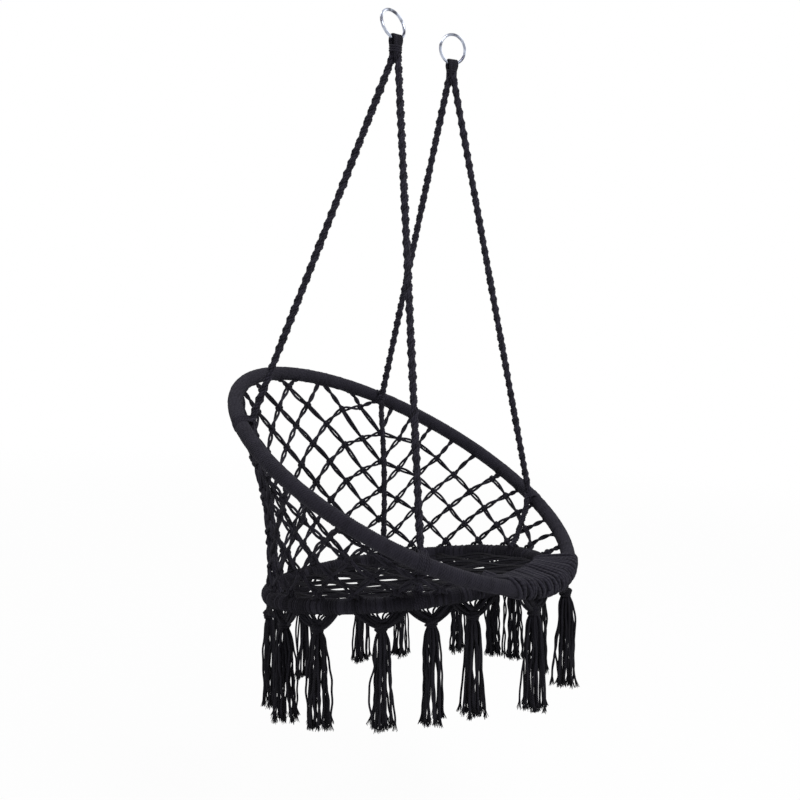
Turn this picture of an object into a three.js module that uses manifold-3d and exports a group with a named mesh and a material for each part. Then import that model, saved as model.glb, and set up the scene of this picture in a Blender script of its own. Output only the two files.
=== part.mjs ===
// A hanging macrame chair: two cord-wrapped steel hoops joined by a knotted net, hung on four ropes
// from two steel rings. Millimetres, +Z up, the chair faces -Y. The origin lies midway between the
// rings, level with the inside of their tops, where the hooks carry them.

import * as THREE from 'three';
import { mergeVertices } from 'three/addons/utils/BufferGeometryUtils.js';
import Module from 'manifold-3d';

const wasm = await Module();
wasm.setup();
const degree = Math.PI / 180;
const turn = 2 * Math.PI;

// Hoops: steel tubes closely wrapped with cord
const backHoopOuter = 800;
const seatHoopOuter = 600;
const wrapDiameter = 30;
const steelDiameter = 20;
const steelWall = 1.2;
const steelGap = 0.6;
const wrapSeam = 3;
const backTilt = 27.7 * degree;
const seatPitch = -9.9 * degree;
const frontSpacing = 50;
const frontSlope = 8.5 * degree;

// Rings, and the line that the chair swings about
const ringOuter = 66;
const ringWire = 6;
const ringSpacing = 258;
const leftRingLean = 18 * degree;
const rightRingLean = 3 * degree;
const rightRingYaw = 25 * degree;
const swingBack = 292;
const swingRise = 1026;

// Necks: the gathered cords that loop over a ring and are bound below it
const loopDiameter = 26;
const neckCore = 17;
const neckFoot = 28;
const neckFootHeight = 4;
const bindingCord = 5;
const bindingTurns = 4;

// Suspension ropes and the knots that hitch them to the back hoop
const ropeDiameter = 14;
const hitchWidth = 26;
const hitchDiameter = 46;
const lowerRope = 11;
const lowerRopeClear = 4.5;
const ropeAngles = [
  { name: 'left_back', side: -1, lean: 1, back: 127 * degree, seat: 138 * degree },
  { name: 'left_front', side: -1, lean: -1, back: 56 * degree, seat: 58 * degree },
  { name: 'right_back', side: 1, lean: 1, back: -131 * degree, seat: -128 * degree },
  { name: 'right_front', side: 1, lean: -1, back: -64 * degree, seat: -58 * degree },
];

// Back net: diamonds between the hoops, in rows that follow the seat hoop
const netThickness = 6;
const netStrand = 9;
const netEdge = 5;
const netRoundCount = 22;
const netPanels = 9;
const panelDiamonds = 2;
const netFirstRow = 26;
const netRowStep = 38.3;
const netRowStretch = 5.7;
const netLeastGap = 10;
const netRows = 14;
const netSeamGap = 1.8;
const netSeamShare = 0.2;

// Seat net: long slits between the strands that run from the back to the front
const seatThickness = 7;
const seatSag = 14;
const slitLength = 84;
const slitWidth = 13;
const slitPitchAcross = 50;
const slitPitchAlong = 106;
const slitFanShare = 0.45;
const seatEdge = 12;

// Front lashing: cord wound round both hoops where they meet
const lashingCord = 6;
const lashingTurns = 11;
const lashingClear = 0.9;
const lashingNestle = 0.7;
const lashingReach = 21 * degree;
const lashingReachSpare = 3 * degree;

// Tassels under the seat hoop, by their angle from the front, towards the left
const tasselAngles = [36, 53, 72, 99, 120, 146, 166, -171, -138, -119, -91, -72, -58, -30];
const frontTasselAngles = [14, -12];
const tasselLean = 3 * degree;
const tasselDrop = 34;
const tasselLength = 200;
const tasselKnot = 19;
const tasselKnotHeight = 18;
const tasselNeck = 15;
const tasselShoulder = 22;
const tasselShoulderDrop = 30;
const tasselTip = 36;
const tasselGrooveShare = 0.16;
const fanWidth = 66;
const fanFoot = 15;
const fanThickness = 7;

// Clearances and the overrun of every cut
const touchGap = 0.3;
const netClear = 0.6;
const netSeatClear = 0.95;
const overrun = 8;
const weld = 0.0001;

// Facet counts
const backSteps = 42;
const seatSteps = 34;
const wrapSides = 8;
const steelSides = 6;
const ringSides = 8;
const ringSteps = 26;
const neckSides = 16;
const neckArcSteps = 6;
const boreSides = 14;
const ropeSides = 8;
const hitchSides = 12;
const cordSides = 5;
const bindingPoints = 14;
const bindingSteps = 12;
const lashingPoints = 12;
const lashingSteps = 16;
const lashingSpaceSteps = { seat: 6, back: 8 };
const windingSamplePoints = 48;
const windingDivisionSteps = 8;
const tasselSides = 8;

// Sizes worked out from the ones above
const backRadius = (backHoopOuter - wrapDiameter) / 2;
const seatRadius = (seatHoopOuter - wrapDiameter) / 2;
const wrapRadius = wrapDiameter / 2;
const ringRadius = (ringOuter - ringWire) / 2;
const hookRise = 2 * ringRadius - ringWire / 2;
const loopRadius = loopDiameter / 2;
const bindingPitch = bindingCord + 2 * touchGap;
const neckFootTop = -loopRadius - bindingPitch * bindingTurns;
const neckBottom = neckFootTop - neckFootHeight;
const seatFront = new THREE.Vector3(0, 0, 0);
const backFront = new THREE.Vector3(
  0,
  -frontSpacing * Math.cos(frontSlope),
  -frontSpacing * Math.sin(frontSlope),
);
const swingAxis = new THREE.Vector3(0, swingBack, swingRise);

const look = (color, roughness, metalness) => new THREE.MeshStandardMaterial({ color, roughness, metalness });
const cordMaterial = () => look(0x1d1b20, 0.9, 0);
const steelMaterial = () => look(0x4a4a4c, 0.5, 0.8);
const chromeMaterial = () => look(0xc9ccd0, 0.16, 1);

const chair = new THREE.Group();
chair.position.set(0, -swingAxis.y, -swingAxis.z - hookRise);

// A named piece of the chair
function piece(name, solid, material) {
  const mesh = new THREE.Mesh(solid.isBufferGeometry ? solid : geometryOf(solid), material);
  mesh.name = name;
  chair.add(mesh);
  return mesh;
}

// A closed geometry as a solid that can be cut and joined
function solidOf(geometry) {
  const bare = geometry.clone();
  bare.deleteAttribute('normal');
  bare.deleteAttribute('uv');
  const merged = mergeVertices(bare, weld);
  return new wasm.Manifold(new wasm.Mesh({
    numProp: 3,
    vertProperties: new Float32Array(merged.attributes.position.array),
    triVerts: new Uint32Array(merged.index.array),
  }));
}

// A solid back as a geometry
function geometryOf(solid) {
  const mesh = solid.getMesh();
  const geometry = new THREE.BufferGeometry();
  geometry.setAttribute('position', new THREE.BufferAttribute(new Float32Array(mesh.vertProperties), 3));
  geometry.setIndex(new THREE.BufferAttribute(new Uint32Array(mesh.triVerts), 1));
  geometry.computeVertexNormals();
  return geometry;
}

// The centre line of a hoop: angle 0 is the front, and positive angles go towards the left
function hoopPoint(radius, pitch, front, angle) {
  const back = radius * (1 - Math.cos(angle));
  return new THREE.Vector3(
    front.x - radius * Math.sin(angle),
    front.y + back * Math.cos(pitch),
    front.z + back * Math.sin(pitch),
  );
}

const backPoint = (angle) => hoopPoint(backRadius, backTilt, backFront, angle);
const seatPoint = (angle) => hoopPoint(seatRadius, seatPitch, seatFront, angle);

// The direction of a hoop's centre line at an angle
function along(point, angle) {
  return point(angle + degree).sub(point(angle - degree)).normalize();
}

// Part of a hoop's centre line, from one angle to another
class HoopCurve extends THREE.Curve {
  constructor(point, from, to) {
    super();
    this.point = point;
    this.from = from;
    this.to = to;
  }

  getPoint(share) {
    return this.point(this.from + (this.to - this.from) * share);
  }
}

// A regular polygon, or a ring between two of them
function section(diameter, sides, bore = 0, boreSides = sides) {
  const corners = (size, count) => Array.from({ length: count }, (_, i) => new THREE.Vector2(
    size / 2 * Math.cos(turn * i / count),
    size / 2 * Math.sin(turn * i / count),
  ));
  const shape = new THREE.Shape(corners(diameter, sides));
  if (bore > 0) shape.holes.push(new THREE.Path(corners(bore, boreSides)));
  return shape;
}

function sweep(shape, curve, steps) {
  return new THREE.ExtrudeGeometry(shape, { steps, extrudePath: curve, bevelEnabled: false });
}

// A straight round bar between two points
function bar(from, to, diameter, sides = ropeSides) {
  return solidOf(sweep(section(diameter, sides), new THREE.LineCurve3(from, to), 1));
}

// A turned solid about Z, from a closed profile of [radius, height] pairs
function turned(profile, segments) {
  const points = profile.map(([radius, height]) => new THREE.Vector2(radius, height));
  return new THREE.LatheGeometry(points, segments).rotateX(Math.PI / 2);
}

// A hoop: its steel tube with a butt joint, and its cord wrap with a seam, both at the front
function hoop(name, point, radius, steps) {
  const whole = turn * radius;
  const tubeEdge = turn * (steelGap / whole) / 2;
  const wrapEdge = turn * (wrapSeam / whole) / 2;
  const tube = section(steelDiameter, steelSides, steelDiameter - 2 * steelWall);
  const wrapBore = steelDiameter + 2 * touchGap / Math.cos(turn / 2 / steelSides);
  const wrap = section(wrapDiameter, wrapSides, wrapBore, steelSides);
  const tubeCurve = new HoopCurve(point, tubeEdge, turn - tubeEdge);
  const wrapCurve = new HoopCurve(point, wrapEdge, turn - wrapEdge);
  piece(`${name}_steel_tube`, solidOf(sweep(tube, tubeCurve, steps)), steelMaterial());
  piece(`${name}_cord_wrap`, solidOf(sweep(wrap, wrapCurve, steps)), cordMaterial());
}

// The space that a hoop's wrap fills, with the touching gap round it, for cutting what meets it
function hoopSpace(point, radius, steps) {
  const diameter = wrapDiameter + 2 * touchGap / Math.cos(turn / 2 / wrapSides);
  const edge = turn * (wrapSeam / (turn * radius)) / 2;
  const curve = new HoopCurve(point, edge, turn - edge);
  return solidOf(sweep(section(diameter, wrapSides), curve, steps));
}

hoop('back_hoop', backPoint, backRadius, backSteps);
hoop('seat_hoop', seatPoint, seatRadius, seatSteps);
const backSpace = hoopSpace(backPoint, backRadius, backSteps);
const seatSpace = hoopSpace(seatPoint, seatRadius, seatSteps);

// Rings: the left one leans back and the right one is turned towards the left
function ring(name, side, lean, yaw) {
  const wire = new THREE.TorusGeometry(ringRadius, ringWire / 2, ringSides, ringSteps);
  const mesh = piece(name, wire, chromeMaterial());
  const stand = new THREE.Group();
  mesh.rotation.x = Math.PI / 2;
  mesh.position.z = ringRadius;
  stand.rotation.set(-lean, 0, yaw, 'ZXY');
  stand.position.set(side * ringSpacing / 2, swingAxis.y, swingAxis.z);
  stand.add(mesh);
  chair.add(stand);
}

ring('ring_left', -1, leftRingLean, 0);
ring('ring_right', 1, rightRingLean, rightRingYaw);

// How far from the swing axis the wire of the turned ring reaches, at a place along the axis
function wireReach(x) {
  const sideways = x * Math.tan(rightRingYaw);
  const upwards = (x / Math.cos(rightRingYaw)) ** 2 / (2 * ringRadius);
  return Math.hypot(sideways, upwards) + ringWire / 2 / Math.cos(rightRingYaw);
}

// A neck: a round loop over the ring, bored for the wire, on a bound stem with a foot
function neck() {
  const stem = neckCore / 2;
  const foot = neckFoot / 2;
  const arcStart = -Math.acos(stem / loopRadius);
  const arc = Array.from({ length: neckArcSteps + 1 }, (_, i) => {
    const angle = arcStart + i * (Math.PI / 2 - arcStart) / neckArcSteps;
    return [loopRadius * Math.cos(angle), loopRadius * Math.sin(angle)];
  });
  arc[arc.length - 1] = [0, loopRadius];
  const body = turned([
    [0, neckBottom],
    [foot, neckBottom],
    [foot, neckFootTop],
    [stem, neckFootTop],
    ...arc,
  ], neckSides);
  const boreShares = [1.25, 0.75, 0.45, 0.2, 0];
  const mouth = boreShares.map((share) => {
    const x = share * loopRadius;
    return [(wireReach(x) + touchGap) / Math.cos(turn / 2 / boreSides), x];
  });
  const bore = turned([
    [0, -mouth[0][1]],
    ...mouth.map(([radius, x]) => [radius, -x]),
    ...mouth.slice(0, -1).reverse(),
    [0, mouth[0][1]],
  ], boreSides);
  bore.rotateY(Math.PI / 2);
  return solidOf(body).subtract(solidOf(bore));
}

// A cord wound round a stem or a pair of hoops: its ends run straight for one diameter
function winding(name, places, diameter, turns, stepsPerTurn) {
  const first = places[0].clone().sub(places[1]).setLength(diameter).add(places[0]);
  const last = places[places.length - 1].clone().sub(places[places.length - 2]);
  last.setLength(diameter).add(places[places.length - 1]);
  const route = [first, ...places, last];
  const curve = new THREE.CatmullRomCurve3(route, false, 'centripetal');
  curve.arcLengthDivisions = route.length * windingDivisionSteps;
  const solid = solidOf(sweep(section(diameter, cordSides), curve, Math.round(turns * stepsPerTurn) + 2));
  let least = Infinity;
  const samples = curve.getSpacedPoints(Math.round(turns * windingSamplePoints));
  const apart = Math.round(samples.length / turns / 2);
  for (let i = 0; i < samples.length; i += 1) {
    for (let j = i + apart; j < samples.length; j += 1) {
      least = Math.min(least, samples[i].distanceTo(samples[j]) - diameter);
    }
  }
  console.log(`${name}: least gap between turns ${least.toFixed(2)} mm`);
  return piece(name, solid, cordMaterial());
}

function binding(name, side) {
  const radius = neckCore / 2 + touchGap + bindingCord / 2;
  const top = -loopRadius - bindingCord / 2 + touchGap;
  const turns = bindingTurns - 1;
  const places = Array.from({ length: bindingPoints * turns + 1 }, (_, i) => new THREE.Vector3(
    side * ringSpacing / 2 + radius * Math.cos(turn * i / bindingPoints),
    swingAxis.y + radius * Math.sin(turn * i / bindingPoints),
    swingAxis.z + top - bindingPitch * i / bindingPoints,
  ));
  return winding(name, places, bindingCord, turns, bindingSteps);
}

for (const [side, word] of [[-1, 'left'], [1, 'right']]) {
  const mesh = piece(`neck_${word}`, neck(), cordMaterial());
  mesh.position.set(side * ringSpacing / 2, swingAxis.y, swingAxis.z);
  binding(`neck_binding_${word}`, side);
}

// Suspension ropes, their hitches on the back hoop, and the ropes that go on to the seat hoop
function barrel(angle, spare) {
  const radius = hitchDiameter / 2 + spare;
  const half = hitchWidth / 2 + spare;
  const shares = [[0, -1], [0.8, -1], [1, -0.5], [1, 0.5], [0.8, 1], [0, 1]];
  const body = turned(shares.map(([out, up]) => [out * radius, up * half]), hitchSides);
  const tangent = along(backPoint, angle);
  body.applyQuaternion(new THREE.Quaternion().setFromUnitVectors(new THREE.Vector3(0, 0, 1), tangent));
  const centre = backPoint(angle);
  body.translate(centre.x, centre.y, centre.z);
  return solidOf(body);
}

// A point on a hoop's centre line as its straight facets run
function facetPoint(point, radius, steps, angle) {
  const edge = wrapSeam / radius / 2;
  const round = ((angle % turn) + turn) % turn;
  const station = THREE.MathUtils.clamp((round - edge) / (turn - 2 * edge) * steps, 0, steps);
  const first = Math.min(Math.floor(station), steps - 1);
  const at = (index) => point(edge + (turn - 2 * edge) * index / steps);
  return at(first).lerp(at(first + 1), station - first);
}

const backFacet = (angle) => facetPoint(backPoint, backRadius, backSteps, angle);
const seatFacet = (angle) => facetPoint(seatPoint, seatRadius, seatSteps, angle);

// The net's surface: out from the seat hoop along the straight line to the back hoop
function netPlace(angle, out, depth) {
  const from = seatFacet(angle);
  const to = backFacet(angle);
  const line = to.clone().sub(from).normalize();
  const across = along(seatPoint, angle).lerp(along(backPoint, angle), 0.5).normalize();
  const inward = new THREE.Vector3().crossVectors(line, across).normalize();
  return from.addScaledVector(line, out).addScaledVector(inward, depth);
}

const netLength = (angle) => seatFacet(angle).distanceTo(backFacet(angle));

// How far along that line the wrap of a hoop reaches, with the touching gap
function hoopReach(point, angle, clear) {
  const line = backPoint(angle).sub(seatPoint(angle)).normalize();
  return (wrapRadius + clear) / Math.sin(line.angleTo(along(point, angle)));
}

const ropeInside = netThickness / 2 + lowerRope / 2 + lowerRopeClear;
const hitchSpaces = ropeAngles.map((rope) => barrel(rope.back, touchGap));

ropeAngles.forEach((rope, i) => {
  const spread = ropeDiameter / 2 + touchGap;
  const top = new THREE.Vector3(
    rope.side * ringSpacing / 2,
    swingAxis.y + rope.lean * spread,
    swingAxis.z + neckBottom,
  );
  const end = backPoint(rope.back);
  const start = top.clone().add(top.clone().sub(end).setLength(overrun));
  const lid = new THREE.BoxGeometry(4 * ropeDiameter, 4 * ropeDiameter, 2 * overrun);
  lid.translate(top.x, top.y, top.z - touchGap + overrun);
  const whole = bar(start, end, ropeDiameter).subtract(solidOf(lid));
  const line = whole.subtract(hitchSpaces[i]).subtract(backSpace);
  piece(`suspension_rope_${rope.name}`, line, cordMaterial());
  piece(`hoop_hitch_${rope.name}`, barrel(rope.back, 0).subtract(backSpace), cordMaterial());
  const under = netPlace(rope.back, netLength(rope.back), ropeInside);
  const foot = netPlace(rope.seat, 0, ropeInside);
  const between = bar(under, foot, lowerRope).subtract(backSpace).subtract(seatSpace);
  const lower = between.subtract(hitchSpaces[i]);
  piece(`lower_rope_${rope.name}`, lower, cordMaterial());
});

// Back net: a flat lattice for each panel, laid out in columns and millimetres, then bent into place
const columnAngle = turn / netRoundCount / 2;
const columnCount = 2 * netPanels * panelDiamonds;
const columnWidth = columnAngle * (backRadius + seatRadius) / 2;
const angleOf = (column) => Math.PI + (column - columnCount / 2) * columnAngle;
const rowStep = (column) => netRowStep - netRowStretch * Math.cos(angleOf(column));
const rowPlace = (column, row) => netFirstRow + row * rowStep(column);
const netTop = (column) => netLength(angleOf(column)) - hoopReach(backPoint, angleOf(column), netClear);
const netBottom = (column) => hoopReach(seatPoint, angleOf(column), netSeatClear);

// The zigzag seam between two panels runs along strands, from knot to knot, up to the back hoop
function netSeam(column, shift) {
  const knots = [];
  for (let row = -1; row < netRows; row += 1) {
    const at = column + ((row + column) % 2 === 0 ? 0 : 1);
    knots.push([at, rowPlace(at, row)]);
  }
  const seam = [];
  for (let i = 1; i < knots.length; i += 1) {
    const [a, b] = [knots[i - 1], knots[i]];
    const place = (share) => [a[0] + (b[0] - a[0]) * share, a[1] + (b[1] - a[1]) * share];
    const low = (netBottom(a[0]) - a[1]) / (b[1] - a[1] - netBottom(b[0]) + netBottom(a[0]));
    const high = (netTop(a[0]) - a[1]) / (b[1] - a[1] - netTop(b[0]) + netTop(a[0]));
    if (low > 0 && low <= 1) seam.push(place(low));
    if (b[1] > netBottom(b[0]) && b[1] < netTop(b[0])) seam.push(b);
    if (high > 0 && high <= 1) {
      seam.push(place(high));
      break;
    }
  }
  return seam.map(([at, out]) => [at + shift / columnWidth, out]);
}

function straightEnd(column) {
  return [[column, netBottom(column)], [column, netTop(column)]];
}

// Keep the part of an outline where the measure is not negative
function trim(outline, measure) {
  const kept = [];
  outline.forEach((b, i) => {
    const a = outline[(i + outline.length - 1) % outline.length];
    const [ma, mb] = [measure(a), measure(b)];
    if (ma < 0 !== mb < 0) {
      const share = ma / (ma - mb);
      kept.push([a[0] + (b[0] - a[0]) * share, a[1] + (b[1] - a[1]) * share]);
    }
    if (mb >= 0) kept.push(b);
  });
  return kept;
}

function outlineArea(outline) {
  return Math.abs(THREE.ShapeUtils.area(outline.map(([at, out]) => ({ x: at * columnWidth, y: out }))));
}

function netGap(column, row) {
  const wide = columnWidth;
  const tall = rowStep(column);
  const keep = 1 - netStrand / 2 / (wide * tall / Math.hypot(wide, tall));
  const outline = [[0, -1], [1, 0], [0, 1], [-1, 0]].map(([c, r]) => {
    const at = column + keep * c;
    return [at, rowPlace(column, row) + keep * r * tall];
  });
  const low = trim(outline, ([at, out]) => out - netBottom(at) - netEdge);
  return low.length < 3 ? low : trim(low, ([at, out]) => netTop(at) - netEdge - out);
}

function netPanel(index) {
  const first = index * 2 * panelDiamonds;
  const last = first + 2 * panelDiamonds;
  const left = index === 0 ? straightEnd(first) : netSeam(first, netSeamGap / 2);
  const right = index === netPanels - 1 ? straightEnd(last) : netSeam(last, -netSeamGap / 2);
  const columns = Array.from({ length: columnCount + 1 }, (_, column) => column);
  const between = (a, b) => columns.filter((c) => c > a[0] + netSeamShare && c < b[0] - netSeamShare);
  const bottom = between(left[0], right[0]).map((c) => [c, netBottom(c)]);
  const top = between(left[left.length - 1], right[right.length - 1]).map((c) => [c, netTop(c)]);
  const flat = ([at, out]) => new THREE.Vector2(at * columnWidth, out);
  const round = [...bottom, ...right, ...top.reverse(), ...left.slice().reverse()];
  const shape = new THREE.Shape(round.map(flat));
  const lastGaps = index === netPanels - 1 ? last - 1 : last;
  for (let column = first + 1; column <= lastGaps; column += 1) {
    for (let row = -1; row < netRows; row += 1) {
      if ((row + column) % 2 === 0) continue;
      const outline = netGap(column, row);
      if (outline.length < 3 || outlineArea(outline) < netLeastGap * netLeastGap) continue;
      shape.holes.push(new THREE.Path(outline.map(flat)));
    }
  }
  const geometry = new THREE.ExtrudeGeometry(shape, { depth: netThickness, bevelEnabled: false });
  const place = geometry.attributes.position;
  for (let i = 0; i < place.count; i += 1) {
    const angle = angleOf(place.getX(i) / columnWidth);
    const spot = netPlace(angle, place.getY(i), netThickness / 2 - place.getZ(i));
    place.setXYZ(i, spot.x, spot.y, spot.z);
  }
  return solidOf(geometry);
}

for (let index = 0; index < netPanels; index += 1) {
  let panel = netPanel(index);
  for (const space of [backSpace, seatSpace, ...hitchSpaces]) panel = panel.subtract(space);
  piece(`back_net_panel_${index + 1}`, panel, cordMaterial());
}

// The space that the lashing takes round a hoop. A piece that settles between its turns nestles closer
const lashingChord = (2 * frontSpacing + turn * (wrapRadius + lashingCord)) / lashingSteps;
const lashingPath = wrapRadius + lashingClear + lashingCord / 2 + lashingChord ** 2 / (8 * wrapRadius);
const lashingOuter = 2 * (lashingPath + lashingCord / 2 + touchGap) / Math.cos(turn / 2 / wrapSides);

function lashingSpace(point, steps, nestle = 0) {
  const reach = lashingReach + lashingReachSpare;
  const outer = section(lashingOuter - 2 * nestle, wrapSides);
  return solidOf(sweep(outer, new HoopCurve(point, -reach, reach), steps));
}

// Seat net: a round plate with long slits in staggered rows, sagging towards its middle
function seatNet() {
  const rim = Array.from({ length: seatSteps }, (_, i) => {
    const angle = turn * (i + 0.5) / seatSteps;
    return new THREE.Vector2(-seatRadius * Math.sin(angle), -seatRadius * Math.cos(angle));
  });
  const shape = new THREE.Shape(rim);
  const clear = seatRadius - wrapRadius - seatEdge;
  const rows = Math.ceil(2 * seatRadius / slitPitchAlong) + 1;
  for (let row = -2 * rows; row <= 2 * rows; row += 1) {
    for (let column = -rows; column <= rows; column += 1) {
      const y = row * slitPitchAlong / 2;
      const spread = 1 - slitFanShare * (1 - y / seatRadius) / 2;
      const x = (column + (row % 2 === 0 ? 0 : 0.5)) * slitPitchAcross * spread;
      const tilt = x * slitFanShare / 2 / seatRadius / spread;
      const outline = [[0, -1], [1, 0], [0, 1], [-1, 0]].map(([a, b]) => {
        const up = b * slitLength / 2;
        return new THREE.Vector2(x + a * slitWidth / 2 + up * tilt, y + up);
      });
      const front = y - slitLength / 2 > -seatRadius + lashingOuter;
      const inside = outline.every((corner) => corner.length() < clear);
      if (front && inside) shape.holes.push(new THREE.Path(outline));
    }
  }
  const geometry = new THREE.ExtrudeGeometry(shape, { depth: seatThickness, bevelEnabled: false });
  const place = geometry.attributes.position;
  for (let i = 0; i < place.count; i += 1) {
    const out = Math.hypot(place.getX(i), place.getY(i)) / seatRadius;
    const drop = seatSag * Math.max(0, 1 - out ** 2);
    place.setZ(i, place.getZ(i) - seatThickness / 2 - drop);
  }
  geometry.rotateX(seatPitch);
  const middle = seatPoint(0).add(seatPoint(Math.PI)).divideScalar(2);
  geometry.translate(middle.x, middle.y, middle.z);
  return solidOf(geometry).subtract(seatSpace).subtract(lashingSpace(seatPoint, lashingSpaceSteps.seat));
}

piece('seat_net', seatNet(), cordMaterial());

// Front lashing: each turn goes round both hoops, over one, across and under the other
function frontLashing() {
  const count = lashingPoints * (lashingTurns - 1);
  const places = Array.from({ length: count + 1 }, (_, i) => {
    const angle = lashingReach * (2 * i / count - 1);
    const phase = turn * (i + 0.5) / lashingPoints;
    const ahead = backPoint(angle);
    const behind = seatPoint(angle);
    const line = ahead.clone().sub(behind).normalize();
    const up = new THREE.Vector3().crossVectors(line, along(seatPoint, angle)).normalize();
    const centre = Math.cos(phase) > 0 ? ahead : behind;
    centre.addScaledVector(line, lashingPath * Math.cos(phase));
    return centre.addScaledVector(up, lashingPath * Math.sin(phase));
  });
  return winding('front_lashing', places, lashingCord, lashingTurns - 1, lashingSteps);
}

frontLashing();

// A tassel: a fan of cords from the hoop to a knot, and a grooved skirt of cut ends below it
function tassel(point, angle, space) {
  const down = new THREE.Vector3(0, -Math.sin(tasselLean), -Math.cos(tasselLean));
  const up = down.clone().negate();
  const tangent = along(point, angle);
  const side = tangent.clone().addScaledVector(up, -tangent.dot(up)).normalize();
  const slope = tangent.dot(up) / tangent.dot(side);
  const basis = new THREE.Matrix4().makeBasis(side, new THREE.Vector3().crossVectors(up, side), up);
  basis.setPosition(point(angle));

  const half = fanWidth / 2;
  const outline = [
    [-half, -half * slope],
    [-fanFoot / 2, -tasselDrop - overrun],
    [fanFoot / 2, -tasselDrop - overrun],
    [half, half * slope],
  ];
  const fan = new THREE.Shape(outline.map(([x, z]) => new THREE.Vector2(x, z)));
  const plate = new THREE.ExtrudeGeometry(fan, { depth: fanThickness, bevelEnabled: false });
  plate.translate(0, 0, -fanThickness / 2);
  plate.rotateX(Math.PI / 2);
  plate.applyMatrix4(basis);

  const rings = [
    [fanFoot / 2, 0, 0],
    [tasselKnot / 2, tasselKnotHeight / 2, 0],
    [tasselNeck / 2, tasselKnotHeight, 0],
    [tasselShoulder / 2, tasselShoulderDrop, tasselGrooveShare],
    [tasselTip / 2, tasselLength, tasselGrooveShare],
  ];
  const positions = [];
  for (const [radius, drop, groove] of rings) {
    for (let i = 0; i < tasselSides; i += 1) {
      const out = radius * (1 - groove * (i % 2));
      const round = turn * i / tasselSides;
      positions.push(out * Math.cos(round), out * Math.sin(round), -tasselDrop - drop);
    }
  }
  positions.push(0, 0, -tasselDrop, 0, 0, -tasselDrop - tasselLength);
  const top = rings.length * tasselSides;
  const index = [];
  for (let i = 0; i < tasselSides; i += 1) {
    const next = (i + 1) % tasselSides;
    for (let ring = 0; ring + 1 < rings.length; ring += 1) {
      const [a, b] = [ring * tasselSides + i, ring * tasselSides + next];
      index.push(a, a + tasselSides, b, b, a + tasselSides, b + tasselSides);
    }
    index.push(top, i, next);
    index.push(top + 1, top - tasselSides + next, top - tasselSides + i);
  }
  const skirt = new THREE.BufferGeometry();
  skirt.setAttribute('position', new THREE.Float32BufferAttribute(positions, 3));
  skirt.setIndex(index);
  skirt.applyMatrix4(basis);
  return solidOf(plate).subtract(space).add(solidOf(skirt));
}

const numbered = (number) => String(number).padStart(2, '0');
tasselAngles.forEach((angle, i) => {
  piece(`tassel_${numbered(i + 1)}`, tassel(seatPoint, angle * degree, seatSpace), cordMaterial());
});
const frontSpace = lashingSpace(backPoint, lashingSpaceSteps.back, lashingNestle);
frontTasselAngles.forEach((angle, i) => {
  piece(`front_tassel_${i + 1}`, tassel(backPoint, angle * degree, frontSpace), cordMaterial());
});

export default chair;
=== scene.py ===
import bpy
import numpy as np
from math import cos, pi, radians, sin
from mathutils import Matrix, Vector


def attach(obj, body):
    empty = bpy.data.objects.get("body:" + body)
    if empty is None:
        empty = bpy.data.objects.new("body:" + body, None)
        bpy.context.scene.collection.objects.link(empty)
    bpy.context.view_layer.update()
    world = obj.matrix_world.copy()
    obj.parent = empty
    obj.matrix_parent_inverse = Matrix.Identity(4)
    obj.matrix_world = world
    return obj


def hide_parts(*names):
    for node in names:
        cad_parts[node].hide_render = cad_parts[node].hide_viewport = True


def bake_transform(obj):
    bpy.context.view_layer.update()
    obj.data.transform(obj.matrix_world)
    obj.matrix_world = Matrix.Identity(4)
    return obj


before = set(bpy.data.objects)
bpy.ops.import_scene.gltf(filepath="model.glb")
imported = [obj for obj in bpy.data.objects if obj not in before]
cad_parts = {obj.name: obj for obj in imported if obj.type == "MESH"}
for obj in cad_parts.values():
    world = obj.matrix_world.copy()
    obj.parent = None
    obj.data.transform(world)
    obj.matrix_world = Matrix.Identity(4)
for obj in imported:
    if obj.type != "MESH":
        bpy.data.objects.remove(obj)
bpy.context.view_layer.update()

print("frame loaded")

# Camera, world and lamps

view = {
    "azimuth": -62.917,
    "elevation": 4.382,
    "distance": 2.43296,
    "lens": 53.2,
    "target": (-0.01983, 0.0, 0.33822),
    "pivot": (0.0, -0.047, 1.040),      # the swing axis, in the frame the target is given in
    "hang": -3.0,                       # the chair hangs straight, so the camera leans instead
    "ringDrop": -0.057,                 # the height of the swing axis in the model
}


# The camera stands at target + distance * (sin az cos el, -cos az cos el, sin el), leaned about the swing
# axis
def makeCamera():
    azimuth, elevation = radians(view["azimuth"]), radians(view["elevation"])
    back = Vector((sin(azimuth) * cos(elevation), -cos(azimuth) * cos(elevation), sin(elevation)))
    right = Vector((cos(azimuth), sin(azimuth), 0))
    up = back.cross(right)
    lean = Matrix.Rotation(radians(view["hang"]), 3, "X")
    spot = lean @ (Vector(view["target"]) + back * view["distance"] - Vector(view["pivot"]))
    spot.z += view["ringDrop"]
    turned = lean @ Matrix((right, up, back)).transposed()
    data = bpy.data.cameras.new("studioCamera")
    data.lens = view["lens"]
    data.sensor_width = 36
    data.clip_end = 60
    camera = bpy.data.objects.new("studioCamera", data)
    bpy.context.collection.objects.link(camera)
    camera.matrix_world = Matrix.Translation(spot) @ turned.to_4x4()
    bpy.context.scene.camera = camera


makeCamera()

studio = {
    "floor": -1.75,
    "floorHalf": 7.0,
    "fill": 0.42,                       # how bright the white room is on the chair itself
    "lamps": [                          # place, size, power, aimed at the seat
        ((-1.4, -2.4, 2.2), 1.3, 82.0),
        ((2.4, -1.2, 0.9), 2.0, 24.0),
        ((0.2, 2.4, 2.0), 1.6, 46.0),
    ],
    "aim": (0.0, 0.0, -0.9),
}


# A shader node with its place and settings
def addNode(tree, kind, place=(0, 0), **values):
    node = tree.nodes.new(kind)
    node.location = place
    for key, value in values.items():
        setattr(node, key, value)
    return node


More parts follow.
